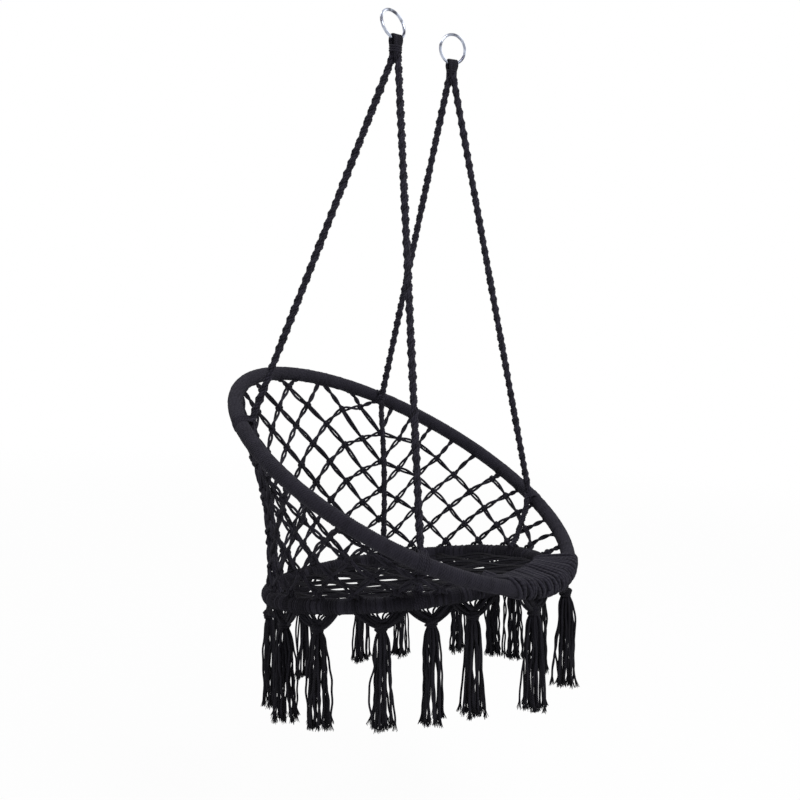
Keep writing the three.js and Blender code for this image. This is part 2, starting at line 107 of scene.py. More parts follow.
# A material with its nodes: the material, its tree, its shader and its output
def newMaterial(name):
    material = bpy.data.materials.new(name)
    material.use_nodes = True
    tree = material.node_tree
    return material, tree, tree.nodes["Principled BSDF"], tree.nodes["Material Output"]


# A white room, three soft lamps aimed at the seat, and a pale floor. The camera sees the room at full
# brightness, the chair is lit by fill times that, and the floor glows more with its distance from the chair
def makeStudio():
    scene = bpy.context.scene
    scene.view_settings.view_transform = "Standard"
    world = bpy.data.worlds.new("whiteRoom")
    world.use_nodes = True
    scene.world = world
    tree = world.node_tree
    path = addNode(tree, "ShaderNodeLightPath", (-700, 0))
    seen = addNode(tree, "ShaderNodeMath", (-500, 0), operation="MAXIMUM")
    seenAll = addNode(tree, "ShaderNodeMath", (-300, 0), operation="MAXIMUM")
    tree.links.new(path.outputs["Is Camera Ray"], seen.inputs[0])
    tree.links.new(path.outputs["Is Glossy Ray"], seen.inputs[1])
    tree.links.new(seen.outputs[0], seenAll.inputs[0])
    tree.links.new(path.outputs["Is Transmission Ray"], seenAll.inputs[1])
    level = addNode(tree, "ShaderNodeMapRange", (-120, 0))
    level.inputs["To Min"].default_value = studio["fill"]
    level.inputs["To Max"].default_value = 1.0
    tree.links.new(seenAll.outputs[0], level.inputs["Value"])
    room = tree.nodes["Background"]
    room.inputs["Color"].default_value = (1, 1, 1, 1)
    tree.links.new(level.outputs[0], room.inputs["Strength"])

    for place, size, power in studio["lamps"]:
        data = bpy.data.lights.new("softLamp", "AREA")
        data.size = size
        data.energy = power
        lamp = bpy.data.objects.new("softLamp", data)
        bpy.context.collection.objects.link(lamp)
        lamp.location = place
        aim = Vector(studio["aim"]) - Vector(place)
        lamp.rotation_euler = aim.to_track_quat("-Z", "Y").to_euler()

    half, height = studio["floorHalf"], studio["floor"]
    corners = [(-half, -half, height), (half, -half, height), (half, half, height), (-half, half, height)]
    mesh = bpy.data.meshes.new("paleFloor")
    mesh.from_pydata(corners, [], [(0, 1, 2, 3)])
    floor = bpy.data.objects.new("pale_floor", mesh)
    bpy.context.collection.objects.link(floor)
    material, tree, shader, output = newMaterial("pale floor")
    shader.inputs["Base Color"].default_value = (0.9, 0.9, 0.9, 1)
    shader.inputs["Roughness"].default_value = 0.9
    path = addNode(tree, "ShaderNodeLightPath", (-500, 300))
    seen = addNode(tree, "ShaderNodeMath", (-300, 300), operation="MAXIMUM")
    tree.links.new(path.outputs["Is Camera Ray"], seen.inputs[0])
    tree.links.new(path.outputs["Is Glossy Ray"], seen.inputs[1])
    share = addNode(tree, "ShaderNodeMath", (-120, 300), operation="MULTIPLY")
    spot = addNode(tree, "ShaderNodeTexCoord", (-900, 100))
    reach = addNode(tree, "ShaderNodeVectorMath", (-700, 100), operation="LENGTH")
    fade = addNode(tree, "ShaderNodeMapRange", (-500, 100))     # the floor fades into the white room
    for name, value in (("From Min", 1.5), ("From Max", half * 0.9), ("To Min", 0.92), ("To Max", 1.0)):
        fade.inputs[name].default_value = value
    tree.links.new(spot.outputs["Object"], reach.inputs[0])
    tree.links.new(reach.outputs["Value"], fade.inputs["Value"])
    tree.links.new(fade.outputs[0], share.inputs[1])
    tree.links.new(seen.outputs[0], share.inputs[0])
    glow = addNode(tree, "ShaderNodeEmission", (0, -300))
    blend = addNode(tree, "ShaderNodeMixShader", (300, 100))
    tree.links.new(share.outputs[0], blend.inputs[0])
    tree.links.new(shader.outputs[0], blend.inputs[1])
    tree.links.new(glow.outputs[0], blend.inputs[2])
    tree.links.new(blend.outputs[0], output.inputs["Surface"])
    mesh.materials.append(material)


makeStudio()
print("camera and studio made")

# Materials

cotton = {
    "dark": (0.0022, 0.0020, 0.0032, 1),
    "light": (0.0245, 0.0228, 0.0335, 1),
    "darkBelow": 0.36,                  # the shade under which a cord has its dark colour
    "sheen": 0.03,
    "ridgePower": 0.6,
    "fibreScale": 1300,
    "patchScale": 48,
    # The ridge share gives the valleys between a cord's plies the dark colour: painted shade
    "paintedPlyShadeShare": 0.42, "fibreShare": 0.5, "patchShare": 0.34, "toneShare": 0.30,   # of a cord's shade
}


# Twisted cord: height = |sin(pi * strands * (v + u / lay))| ^ 0.6, u metres along the cord and v once
# round it, with a fine fuzz of fibres over it. Shade = shares of that height, which paints shade into the
# valleys between the plies, the fuzz and slow patches
def makeCordTwist():
    group = bpy.data.node_groups.new("cordTwist", "ShaderNodeTree")
    for name, kind in (("Course", "Vector"), ("Place", "Vector"), ("Lay", "Float"), ("Strands", "Float"),
                       ("Fuzz", "Float")):
        group.interface.new_socket(name=name, in_out="INPUT", socket_type=f"NodeSocket{kind}")
    for name in ("Height", "Shade"):
        group.interface.new_socket(name=name, in_out="OUTPUT", socket_type="NodeSocketFloat")
    source = addNode(group, "NodeGroupInput", (-900, 0))
    result = addNode(group, "NodeGroupOutput", (900, 0))

    def maths(operation, first, second=None, place=(0, 0)):
        node = addNode(group, "ShaderNodeMath", place, operation=operation)
        for socket, value in zip(node.inputs, (first, second)):
            if isinstance(value, (int, float)):
                socket.default_value = value
            elif value is not None:
                group.links.new(value, socket)
        return node.outputs[0]

    split = addNode(group, "ShaderNodeSeparateXYZ", (-700, 200))
    group.links.new(source.outputs["Course"], split.inputs[0])
    laid = maths("DIVIDE", split.outputs["X"], source.outputs["Lay"], (-520, 260))
    phase = maths("ADD", laid, split.outputs["Y"], (-360, 240))
    strand = maths("MULTIPLY", phase, source.outputs["Strands"], (-200, 240))
    wave = maths("SINE", maths("MULTIPLY", strand, pi, (-40, 240)), place=(120, 240))
    ridge = maths("POWER", maths("ABSOLUTE", wave, place=(260, 240)), cotton["ridgePower"], (400, 240))

    fuzz = addNode(group, "ShaderNodeTexNoise", (-500, -100))
    fuzz.inputs["Scale"].default_value = cotton["fibreScale"]
    fuzz.inputs["Detail"].default_value = 3
    fuzz.inputs["Roughness"].default_value = 0.65
    slow = addNode(group, "ShaderNodeTexNoise", (-500, -350))
    slow.inputs["Scale"].default_value = cotton["patchScale"]
    slow.inputs["Detail"].default_value = 2
    for noise in (fuzz, slow):
        group.links.new(source.outputs["Place"], noise.inputs["Vector"])
    rough = maths("MULTIPLY", fuzz.outputs["Fac"], source.outputs["Fuzz"], (-200, -100))
    height = maths("ADD", ridge, rough, (560, 120))
    # Painted shade: the valleys between the plies take the dark colour
    paintedPlyShade = maths("MULTIPLY", ridge, cotton["paintedPlyShadeShare"], (400, -60))
    fibreShade = maths("MULTIPLY", rough, cotton["fibreShare"], (400, -220))
    cordShade = maths("ADD", paintedPlyShade, fibreShade, (560, -120))
    patchShade = maths("MULTIPLY", slow.outputs["Fac"], cotton["patchShare"], (400, -380))
    shade = maths("ADD", cordShade, patchShade, (720, -200))
    group.links.new(height, result.inputs["Height"])
    group.links.new(shade, result.inputs["Shade"])
    return group


cordTwist = makeCordTwist()


# A cord's material: its dark and light colour by the twist's shade, which holds painted shade in the
# valleys between the plies, and the cord's own tone. lay is in metres, fuzz is the height of the fibres
# against the ridges', bump the height of a ridge in metres
def makeCord(name, lay, strands, fuzz, bump, lightness=1.0):
    material, tree, shader, _ = newMaterial(name)
    course = addNode(tree, "ShaderNodeUVMap", (-1100, 100), uv_map="cordCourse")
    place = addNode(tree, "ShaderNodeTexCoord", (-1100, -100))
    twist = addNode(tree, "ShaderNodeGroup", (-850, 0), node_tree=cordTwist)
    tree.links.new(course.outputs["UV"], twist.inputs["Course"])
    tree.links.new(place.outputs["Object"], twist.inputs["Place"])
    twist.inputs["Lay"].default_value = lay
    twist.inputs["Strands"].default_value = strands
    twist.inputs["Fuzz"].default_value = fuzz
    tone = addNode(tree, "ShaderNodeAttribute", (-850, -300), attribute_name="tone")
    level = addNode(tree, "ShaderNodeMath", (-650, -150), operation="MULTIPLY_ADD")
    tree.links.new(tone.outputs["Fac"], level.inputs[0])
    level.inputs[1].default_value = cotton["toneShare"]
    tree.links.new(twist.outputs["Shade"], level.inputs[2])
    ramp = addNode(tree, "ShaderNodeValToRGB", (-450, 0))
    dark, light = cotton["dark"], cotton["light"]
    ramp.color_ramp.elements[0].position = cotton["darkBelow"]
    ramp.color_ramp.elements[0].color = dark
    ramp.color_ramp.elements[1].position = 1.0
    ramp.color_ramp.elements[1].color = [channel * lightness for channel in light[:3]] + [1]
    tree.links.new(level.outputs[0], ramp.inputs["Fac"])
    tree.links.new(ramp.outputs["Color"], shader.inputs["Base Color"])
    rough = addNode(tree, "ShaderNodeMapRange", (-450, -300))
    rough.inputs["To Min"].default_value = 0.96
    rough.inputs["To Max"].default_value = 0.78
    tree.links.new(twist.outputs["Shade"], rough.inputs["Value"])
    tree.links.new(rough.outputs[0], shader.inputs["Roughness"])
    relief = addNode(tree, "ShaderNodeBump", (-250, -450))
    relief.inputs["Strength"].default_value = 1.0
    relief.inputs["Distance"].default_value = bump
    tree.links.new(twist.outputs["Height"], relief.inputs["Height"])
    tree.links.new(relief.outputs["Normal"], shader.inputs["Normal"])
    shader.inputs["Sheen Weight"].default_value = cotton["sheen"]
    shader.inputs["Sheen Roughness"].default_value = 0.6
    shader.inputs["Specular IOR Level"].default_value = 0.08
    return material


# Steel in two colours that drift over it in patches, and its roughness with them. On the rings the dark
# patches are painted reflection of the dark chair
def makeMetal(name, dark, light, scale, roughLow, roughHigh):
    material, tree, shader, _ = newMaterial(name)
    place = addNode(tree, "ShaderNodeTexCoord", (-900, 0))
    noise = addNode(tree, "ShaderNodeTexNoise", (-700, 0))
    noise.inputs["Scale"].default_value = scale
    noise.inputs["Detail"].default_value = 4
    tree.links.new(place.outputs["Object"], noise.inputs["Vector"])
    ramp = addNode(tree, "ShaderNodeValToRGB", (-450, 100))
    ramp.color_ramp.elements[0].position = 0.35
    ramp.color_ramp.elements[0].color = dark
    ramp.color_ramp.elements[1].position = 0.62
    ramp.color_ramp.elements[1].color = light
    tree.links.new(noise.outputs["Fac"], ramp.inputs["Fac"])
    tree.links.new(ramp.outputs["Color"], shader.inputs["Base Color"])
    rough = addNode(tree, "ShaderNodeMapRange", (-450, -200))
    rough.inputs["To Min"].default_value = roughLow
    rough.inputs["To Max"].default_value = roughHigh
    tree.links.new(noise.outputs["Fac"], rough.inputs["Value"])
    tree.links.new(rough.outputs[0], shader.inputs["Roughness"])
    shader.inputs["Metallic"].default_value = 1
    return material


netCord = makeCord("black knotted cord", lay=0.0115, strands=3, fuzz=0.55, bump=0.0006)
# The seat cord is the same black cotton made darker by lightness 0.52: painted shade
seatCordPaintedShade = makeCord("black seat cord", lay=0.0115, strands=3, fuzz=0.55, bump=0.0006, lightness=0.52)
# The rope cord is the same black cotton made lighter by lightness 1.5: painted light
ropeCordPaintedLight = makeCord("black rope cord", lay=0.016, strands=3, fuzz=0.6, bump=0.0009, lightness=1.5)
woundCord = makeCord("black wound cord", lay=0.013, strands=1.5, fuzz=1.3, bump=0.0009, lightness=1.05)
# The tassel cord is the same black cotton made darker by lightness 0.6: painted shade
tasselCordPaintedShade = makeCord("black tassel cord", lay=0.0125, strands=3, fuzz=0.6, bump=0.0007, lightness=0.6)
# Painted reflection: the ring's dark patches stand in for the dark chair mirrored in the steel
ringSteelPaintedReflection = makeMetal("ring steel with painted reflection", dark=(0.05, 0.05, 0.07, 1), light=(0.50, 0.54, 0.64, 1), scale=60,
                      roughLow=0.10, roughHigh=0.22)
tubeSteel = makeMetal("steel tube", dark=(0.10, 0.10, 0.11, 1), light=(0.28, 0.28, 0.29, 1), scale=30,
                      roughLow=0.35, roughHigh=0.55)
print("materials made")

# Tools that make every cord

rng = np.random.default_rng(11)
# A core inside other cords gets a low tone and so the dark colour: painted shade
coreShadeTone = 0.1                      # a core inside other cords is dark


# Vectors divided by their own lengths
def unit(vectors):
    return vectors / np.linalg.norm(vectors, axis=-1, keepdims=True)


# From 0 to 1 without a kink: share^2 * (3 - 2 * share)
def smooth(share):
    share = np.clip(share, 0, 1)
    return share * share * (3 - 2 * share)


# A random start for a wave, from 0 to 6 radians
def anyPhase(source, size=None):
    return source.random(size) * 6


# A bundle of tubes: point = path + radius * (cos t * toward + sin t * across), t once round in even
# steps, where across = ahead x toward. Open tubes are capped. tone is one number for each tube
def tubes(paths, radius, toward, sides=6, closed=False, tone=None):
    paths = np.asarray(paths, float)
    count, steps = paths.shape[:2]
    if closed:
        ahead = np.roll(paths, -1, 1) - np.roll(paths, 1, 1)
        spans = np.linalg.norm(np.roll(paths, -1, 1) - paths, axis=-1)
    else:
        ahead = np.gradient(paths, axis=1)
        spans = np.linalg.norm(np.diff(paths, axis=1), axis=-1)
    ahead = unit(ahead)
    toward = np.broadcast_to(toward, paths.shape)
    toward = unit(toward - (toward * ahead).sum(-1, keepdims=True) * ahead)
    across = np.cross(ahead, toward)
    size = np.broadcast_to(radius, (count, steps))[..., None, None]
    t = np.linspace(0, 2 * pi, sides, endpoint=False)[:, None]
    spots = paths[:, :, None] + size * (np.cos(t) * toward[:, :, None] + np.sin(t) * across[:, :, None])
    course = np.concatenate([np.zeros((count, 1)), spans.cumsum(1)], 1)

    i, j = np.meshgrid(np.arange(steps if closed else steps - 1), np.arange(sides), indexing="ij")
    nextI, nextJ = (i + 1) % steps, (j + 1) % sides
    quad = np.stack((i * sides + j, i * sides + nextJ, nextI * sides + nextJ, nextI * sides + j), -1)
    start = (np.arange(count) * steps * sides)[:, None, None, None]
    quads = (start + quad).reshape(-1, 4)
    u = np.stack((course[:, i], course[:, i], course[:, i + 1], course[:, i + 1]), -1)
    v = np.broadcast_to(np.stack((j, j + 1, j + 1, j), -1) / sides, u.shape)
    part = {"spots": spots.reshape(-1, 3), "quads": quads, "quadCourse": np.stack((u, v), -1).reshape(-1, 2)}
    if not closed:
        first = np.arange(sides)[::-1][None] + start.reshape(-1, 1)
        last = np.arange(sides)[None] + (steps - 1) * sides + start.reshape(-1, 1)
        part["caps"] = np.concatenate((first, last))
        turnShare = np.broadcast_to(np.arange(sides) / sides, first.shape)
        firstCourse = np.stack((np.repeat(course[:, :1], sides, 1), turnShare[:, ::-1]), -1)
        lastCourse = np.stack((np.repeat(course[:, -1:], sides, 1), turnShare), -1)
        part["capCourse"] = np.concatenate((firstCourse, lastCourse)).reshape(-1, 2)
    tone = rng.random(count) if tone is None else np.broadcast_to(tone, count)
    part["tone"] = np.repeat(tone, steps * sides)
    return part


# One mesh out of many bundles: their points and faces one after another, with the course of each cord as
# the UV map and its tone as an attribute
def makePiece(name, parts, material):
    corners, starts, courses = [], [], []
    shift = taken = 0
    for part in parts:
        for faces, course in (("quads", "quadCourse"), ("caps", "capCourse")):
            if faces in part:
                shifted = part[faces] + shift
                corners.append(shifted.ravel())
                starts.append(taken + np.arange(len(shifted)) * shifted.shape[1])
                courses.append(part[course])
                taken += shifted.size
        shift += len(part["spots"])
    mesh = bpy.data.meshes.new(name)
    spots = np.concatenate([part["spots"] for part in parts])
    mesh.vertices.add(len(spots))
    mesh.vertices.foreach_set("co", spots.astype(np.float32).ravel())
    corners, starts = np.concatenate(corners), np.concatenate(starts)
    mesh.loops.add(len(corners))
    mesh.loops.foreach_set("vertex_index", corners.astype(np.int32))
    mesh.polygons.add(len(starts))
    mesh.polygons.foreach_set("loop_start", starts.astype(np.int32))
    mesh.update(calc_edges=True)
    courseMap = mesh.uv_layers.new(name="cordCourse")
    courseMap.uv.foreach_set("vector", np.concatenate(courses).astype(np.float32).ravel())
    tone = mesh.attributes.new("tone", "FLOAT", "POINT")
    tone.data.foreach_set("value", np.concatenate([part["tone"] for part in parts]).astype(np.float32))
    mesh.shade_smooth()
    mesh.materials.append(material)
    item = bpy.data.objects.new(name, mesh)
    bpy.context.collection.objects.link(item)
    return item


# A piece of one body, in place of one node
def finishRigid(name, parts, material, body, node):
    item = makePiece(name, parts, material)
    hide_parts(node)
    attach(item, body)


# A piece that runs between the two frames, in place of one node, with its placement baked into its mesh
# and tied to neither body
def finishBent(name, parts, material, node):
    item = makePiece(name, parts, material)
    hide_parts(node)
    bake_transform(item)


# Hoops: angle 0 is the front, and positive angles go towards the left

hinge = (0.0, -0.292, -1.083)       # the front of the seat hoop, which the seat folds about
frontSpacing, frontSlope = 0.05, radians(8.5)
backHoop = {"radius": 0.385, "pitch": radians(27.7),
            "front": (0.0, hinge[1] - frontSpacing * cos(frontSlope),
                      hinge[2] - frontSpacing * sin(frontSlope))}
seatHoop = {"radius": 0.285, "pitch": radians(-9.9), "front": hinge}
wrapRadius = 0.015


# Centre line: front + radius * (-sin a, (1 - cos a) cos pitch, (1 - cos a) sin pitch)
def hoopPoint(hoop, angle):
    angle = np.asarray(angle, float)
    back = hoop["radius"] * (1 - np.cos(angle))
    spot = (-hoop["radius"] * np.sin(angle), back * cos(hoop["pitch"]), back * sin(hoop["pitch"]))
    return np.stack(spot, -1) + np.array(hoop["front"])


# Directions on a hoop: along it, out from its middle, and square to its plane
def hoopAxes(hoop, angle):
    angle = np.asarray(angle, float)
    rise, run = sin(hoop["pitch"]), cos(hoop["pitch"])
    along = np.stack((-np.cos(angle), np.sin(angle) * run, np.sin(angle) * rise), -1)
    out = np.stack((-np.sin(angle), -np.cos(angle) * run, -np.cos(angle) * rise), -1)
    return along, out, np.cross(along, out)


# Cord wound round a hoop's tube: centre(a) + radius * (cos t * out + sin t * up)
def roundHoop(hoop, angle, phase, radius):
    along, out, up = hoopAxes(hoop, angle)
    radius = np.asarray(radius)[..., None]
    return hoopPoint(hoop, angle) + radius * (np.cos(phase)[..., None] * out + np.sin(phase)[..., None] * up)


winding = {"pitch": 0.0044, "ridge": 0.0150, "valley": 0.0140, "shoulderShare": 0.82, "roundSteps": 24,
           "unevenness": 0.00022, "wobble": 0.000175, "waves": (5, 9, 14, 23)}


# The whole wrap is one closed skin whose rows follow the cord: row i, step j lies at a = 2 pi (i + 4 j /
# steps round the tube) / rows, and four rows make one cord, from valley to ridge and back
def woundHoop(hoop):
    turns = round(2 * pi * hoop["radius"] / winding["pitch"])
    rows, around = 4 * turns, winding["roundSteps"]
    i, j = np.meshgrid(np.arange(rows), np.arange(around), indexing="ij")
    angle = 2 * pi * (i + 4 * j / around) / rows
    phase = 2 * pi * j / around
    rise = np.array([0, winding["shoulderShare"], 1, winding["shoulderShare"]])[i % 4]
    uneven = rng.normal(0, 1, turns)
    k, share = i // 4, j / around
    bump = uneven[k] * (1 - share) + uneven[(k + 1) % turns] * share
    waves = sum(np.sin(n * angle + anyPhase(rng)) / n for n in winding["waves"])
    size = winding["valley"] + (winding["ridge"] - winding["valley"]) * rise
    size = size + winding["unevenness"] * bump * (rise > 0) + winding["wobble"] * waves
    spots = roundHoop(hoop, angle, phase, size)
    nextI = (i + 1) % rows
    over = j == around - 1
    sideI = np.where(over, (i + 4) % rows, i)       # a step round past the last one is one cord further on
    sideNext = np.where(over, (nextI + 4) % rows, nextI)
    nextJ = (j + 1) % around
    quads = np.stack((i * around + j, sideI * around + nextJ,
                      sideNext * around + nextJ, nextI * around + j), -1)
    girth = 2 * pi * winding["ridge"]
    u0, u1 = (k + share) * girth, (k + share + 1 / around) * girth
    v0, v1 = (i % 4) / 4, (i % 4 + 1) / 4
    course = np.stack([np.stack(corner, -1) for corner in ((u0, v0), (u1, v0), (u1, v1), (u0, v1))], -2)
    shade = rng.random(turns)
    tone = shade[k] * (1 - share) + shade[(k + 1) % turns] * share
    return {"spots": spots.reshape(-1, 3), "quads": quads.reshape(-1, 4), "quadCourse": course.reshape(-1, 2),
            "tone": tone.ravel()}


finishRigid("back_hoop_wound_cord", [woundHoop(backHoop)], woundCord, "back_frame", "back_hoop_cord_wrap")
finishRigid("seat_hoop_wound_cord", [woundHoop(seatHoop)], woundCord, "seat_frame", "seat_hoop_cord_wrap")
for node in ("back_hoop_steel_tube", "seat_hoop_steel_tube"):
    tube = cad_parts[node]
    tube.data.materials.clear()
    tube.data.materials.append(tubeSteel)
print("hoops made")

# Rings and necks

ringSizes = {"half": 0.129, "axis": -0.057, "radius": 0.030, "wire": 0.003, "steps": 96, "sides": 20,
             "turned": {"left": (radians(19), radians(-17)), "right": (radians(1), radians(-34))}}


# A ring: its middle line is a circle, leaned back about X and then turned about Z
def makeRing(word, side):
    lean, yaw = ringSizes["turned"][word]
    t = np.linspace(0, 2 * pi, ringSizes["steps"], endpoint=False)
    radius = ringSizes["radius"]
    flat = np.stack((radius * np.cos(t), 0 * t, radius + radius * np.sin(t)), -1)
    out = np.stack((np.cos(t), 0 * t, np.sin(t)), -1)
    place = np.array(Matrix.Rotation(yaw, 3, "Z") @ Matrix.Rotation(-lean, 3, "X"))
    spots = flat @ place.T + (side * ringSizes["half"], 0, ringSizes["axis"])
    part = tubes(spots[None], ringSizes["wire"], (out @ place.T)[None], ringSizes["sides"], closed=True)
    finishRigid(f"ring_{word}_bright", [part], ringSteelPaintedReflection, "rings", f"ring_{word}")


neck = {"strands": 7, "spacing": 0.0030, "unevenness": 0.0002, "strandRadius": 0.0018, "outerLoop": 0.0078,
        "innerLoop": 0.0049, "legs": 0.030, "legTop": 0.0015, "legSteps": 10, "arcSteps": 13,
        "gather": 0.22, "gatherDepth": 0.018, "swell": 0.10, "swellDepth": 0.014, "narrowing": 0.12,
        "sides": 8}
binding = {"top": -0.0120, "pitch": 0.0044, "flatness": 0.95, "stepsPerTurn": 28, "sides": 8,
           "left": {"turns": 3.2, "radius": 0.0112, "cord": 0.0022},
           "right": {"turns": 2.2, "radius": 0.0094, "cord": 0.0016}}


# Strands that loop over the wire: down one side, half a circle over the top, and down the other, drawn
# together below as depth grows. The binding is a coil round them
def makeNeck(word, side):
    yaw = ringSizes["turned"][word][1]
    wire = np.array((cos(yaw), sin(yaw), 0.0))
    cross = np.array((-sin(yaw), cos(yaw), 0.0))
    above = np.array((0, 0, 1.0))
    centre = np.array((side * ringSizes["half"], 0, ringSizes["axis"]))
    parts = []
    for loop, count in ((neck["outerLoop"], neck["strands"]), (neck["innerLoop"], neck["strands"] - 1)):
        across = (np.arange(count) - (count - 1) / 2) * neck["spacing"]
        across = (across + rng.normal(0, neck["unevenness"], count))[:, None]
        leg = np.linspace(neck["legs"], neck["legTop"], neck["legSteps"])
        arc = np.linspace(pi, 0, neck["arcSteps"])
        depth = np.concatenate((leg, 0 * arc, leg[::-1]))
        beside = np.ones(neck["legSteps"])
        bow = np.concatenate((-beside, np.cos(arc), beside)) * loop
        rise = np.concatenate((0 * leg, loop * np.sin(arc), 0 * leg)) - depth
        pull = smooth(depth / neck["gatherDepth"])
        swell = 1 + neck["swell"] * np.sin(pi * np.clip(depth / neck["swellDepth"], 0, 1))
        sideways = across * (1 - neck["gather"] * pull) * swell
        bow = bow * (1 - neck["narrowing"] * pull)
        paths = centre + sideways[..., None] * wire + bow[:, None] * cross + rise[:, None] * above
        parts.append(tubes(paths, neck["strandRadius"], wire, neck["sides"]))
    finishRigid(f"neck_{word}_strands", parts, netCord, "back_frame", f"neck_{word}")

    turns, radius = binding[word]["turns"], binding[word]["radius"]
    t = np.linspace(0, 2 * pi * turns, int(binding["stepsPerTurn"] * turns))
    drop = binding["top"] - binding["pitch"] * t / (2 * pi)
    paths = (centre + (radius * np.cos(t))[:, None] * wire
             + (binding["flatness"] * radius * np.sin(t))[:, None] * cross + drop[:, None] * above)
    out = np.cos(t)[:, None] * wire + np.sin(t)[:, None] * cross
    parts = [tubes(paths[None], binding[word]["cord"], out[None], binding["sides"])]
    finishRigid(f"neck_binding_{word}_cord", parts, netCord, "back_frame", f"neck_binding_{word}")


for word, side in (("left", -1), ("right", 1)):
    makeRing(word, side)
    makeNeck(word, side)
print("rings and necks made")

# Suspension ropes, hitches and lower ropes

ropes = {
    "left_back": {"side": -1, "lean": 1, "back": radians(127), "seat": radians(138)},
    "left_front": {"side": -1, "lean": -1, "back": radians(55), "seat": radians(58)},
    "right_back": {"side": 1, "lean": 1, "back": radians(-131), "seat": radians(-128)},
    "right_front": {"side": 1, "lean": -1, "back": radians(-62), "seat": radians(-58)},
}
ropeTop = {"under": -0.0965, "spread": 0.0073, "inside": -0.0775, "insideSpread": 0.0035}   # by its neck
ropeLook = {"lay": 0.030, "bulgePitch": 0.0425, "wide": 0.0055, "narrow": 0.0031, "cord": 0.0031,
            "core": 0.0040, "step": 0.0021, "sides": 7, "coreSkip": 3, "seed": 40}
lowerLook = {"lay": 0.027, "bulgePitch": 0.046, "wide": 0.0046, "narrow": 0.0031, "cord": 0.0029,
             "core": 0.0036, "step": 0.0021, "sides": 7, "coreSkip": 3, "seed": 60}
ropeUneven = {"drifts": 4, "drift": (0.1, 0.3), "driftRate": (6, 30), "swells": ((0.06, 41), (0.05, 97))}


# A spiral of half knots round a core: four cords lie on an oval that turns once in bulgePitch, which
# gives the rope its beads. Each stands at x = wide cos q, y = narrow sin q in the oval, with q = its own
# turn, once in lay, less the oval's
def sinnet(route, sizes, seed):
    own = np.random.default_rng(seed)
    route = np.asarray(route, float)
    spans = np.linalg.norm(np.diff(route, axis=0), axis=-1)
    reach = np.concatenate(([0], spans.cumsum()))
    s = np.linspace(0, reach[-1], int(reach[-1] / sizes["step"]))
    middle = np.stack([np.interp(s, reach, route[:, k]) for k in range(3)], -1)
    ahead = unit(route[-1] - route[0])
    aside = (1.0, 0.2, 0.0)             # any direction across the rope
    first = unit(np.cross(ahead, aside))
    second = np.cross(ahead, first)
    drift = 0
    for _ in range(ropeUneven["drifts"]):
        deep = own.uniform(*ropeUneven["drift"])
        rate = own.uniform(*ropeUneven["driftRate"])
        drift = drift + deep * np.sin(s * rate + anyPhase(own))
    spin = 2 * pi * s / sizes["bulgePitch"] + drift
    swell = 1
    for deep, rate in ropeUneven["swells"]:
        swell = swell + deep * np.sin(s * rate + anyPhase(own))
    paths = []
    for turn in np.arange(4) * pi / 2:
        q = 2 * pi * s / sizes["lay"] + turn - spin
        x, y = sizes["wide"] * swell * np.cos(q), sizes["narrow"] * swell * np.sin(q)
        paths.append(middle + (x * np.cos(spin) - y * np.sin(spin))[:, None] * first
                     + (x * np.sin(spin) + y * np.cos(spin))[:, None] * second)
    paths = np.array(paths)
    core = middle[::sizes["coreSkip"]]
    return [tubes(paths, sizes["cord"], unit(paths - middle), sizes["sides"]),
            tubes(core[None], sizes["core"], first, tone=coreShadeTone)]


hitch = {"width": 0.023, "cord": 0.0023, "radius": 0.0137, "turns": 5, "reach": 0.0105, "skew": 0.10}
seatHitch = {"width": 0.018, "cord": 0.0023, "radius": 0.0144, "turns": 4, "reach": 0.0080, "skew": 0.10}
hitchTurns = {"steps": 30, "unevenness": 0.0004, "unevenRate": 0.37, "bulgePower": 8, "sides": 7}
hitchKnots = {"radius": 0.0058, "wave": 0.003, "waveLean": 3, "steps": 14, "alongShare": 0.4,
              "standOff": 0.001, "leanAndShift": ((0.5, -0.005), (-0.6, 0.0), (0.2, 0.005))}


# Turns round a hoop's tube that swell out to take in the rope beside it: size = radius + reach * cos(turn
# from the rope)^8 on the rope's side. Each small knot there is a ring with a wave in it
def makeHitch(hoop, angle, rope, sizes):
    along, out, up = hoopAxes(hoop, angle)
    beside = rope - hoopPoint(hoop, angle)
    facing = np.arctan2(beside @ up, beside @ out)
    t = np.linspace(0, 2 * pi * sizes["turns"], hitchTurns["steps"] * sizes["turns"])
    run = (t / (2 * pi * sizes["turns"]) - 0.5) * sizes["width"]
    run = run + sizes["skew"] * sizes["width"] * np.cos(t - facing)
    place = angle + run / hoop["radius"]
    bulge = sizes["reach"] * np.clip(np.cos(t - facing), 0, 1) ** hitchTurns["bulgePower"]
    size = sizes["radius"] + hitchTurns["unevenness"] * np.sin(t * hitchTurns["unevenRate"]) + bulge
    path = roundHoop(hoop, place, t, size)
    sides = hitchTurns["sides"]
    parts = [tubes(path[None], sizes["cord"], (path - hoopPoint(hoop, place))[None], sides)]
    radius, wave = hitchKnots["radius"], hitchKnots["wave"]
    turn = np.linspace(0, 2 * pi, hitchKnots["steps"], endpoint=False)[:, None]
    outward = unit(beside)
    for lean, shift in hitchKnots["leanAndShift"]:
        middle = rope + along * shift * hitchKnots["alongShare"] + outward * hitchKnots["standOff"]
        band = middle + radius * np.cos(turn) * along + radius * np.sin(turn) * outward
        rise = wave * np.sin(turn + lean * hitchKnots["waveLean"]) + shift
        band = band + rise * np.cross(along, outward)
        parts.append(tubes(band[None], sizes["cord"], (band - middle)[None], sides, closed=True))
    return parts


netSheet = {"bow": 0.055, "ropeDepth": 0.008, "byBack": 0.013, "bySeat": 0.008}


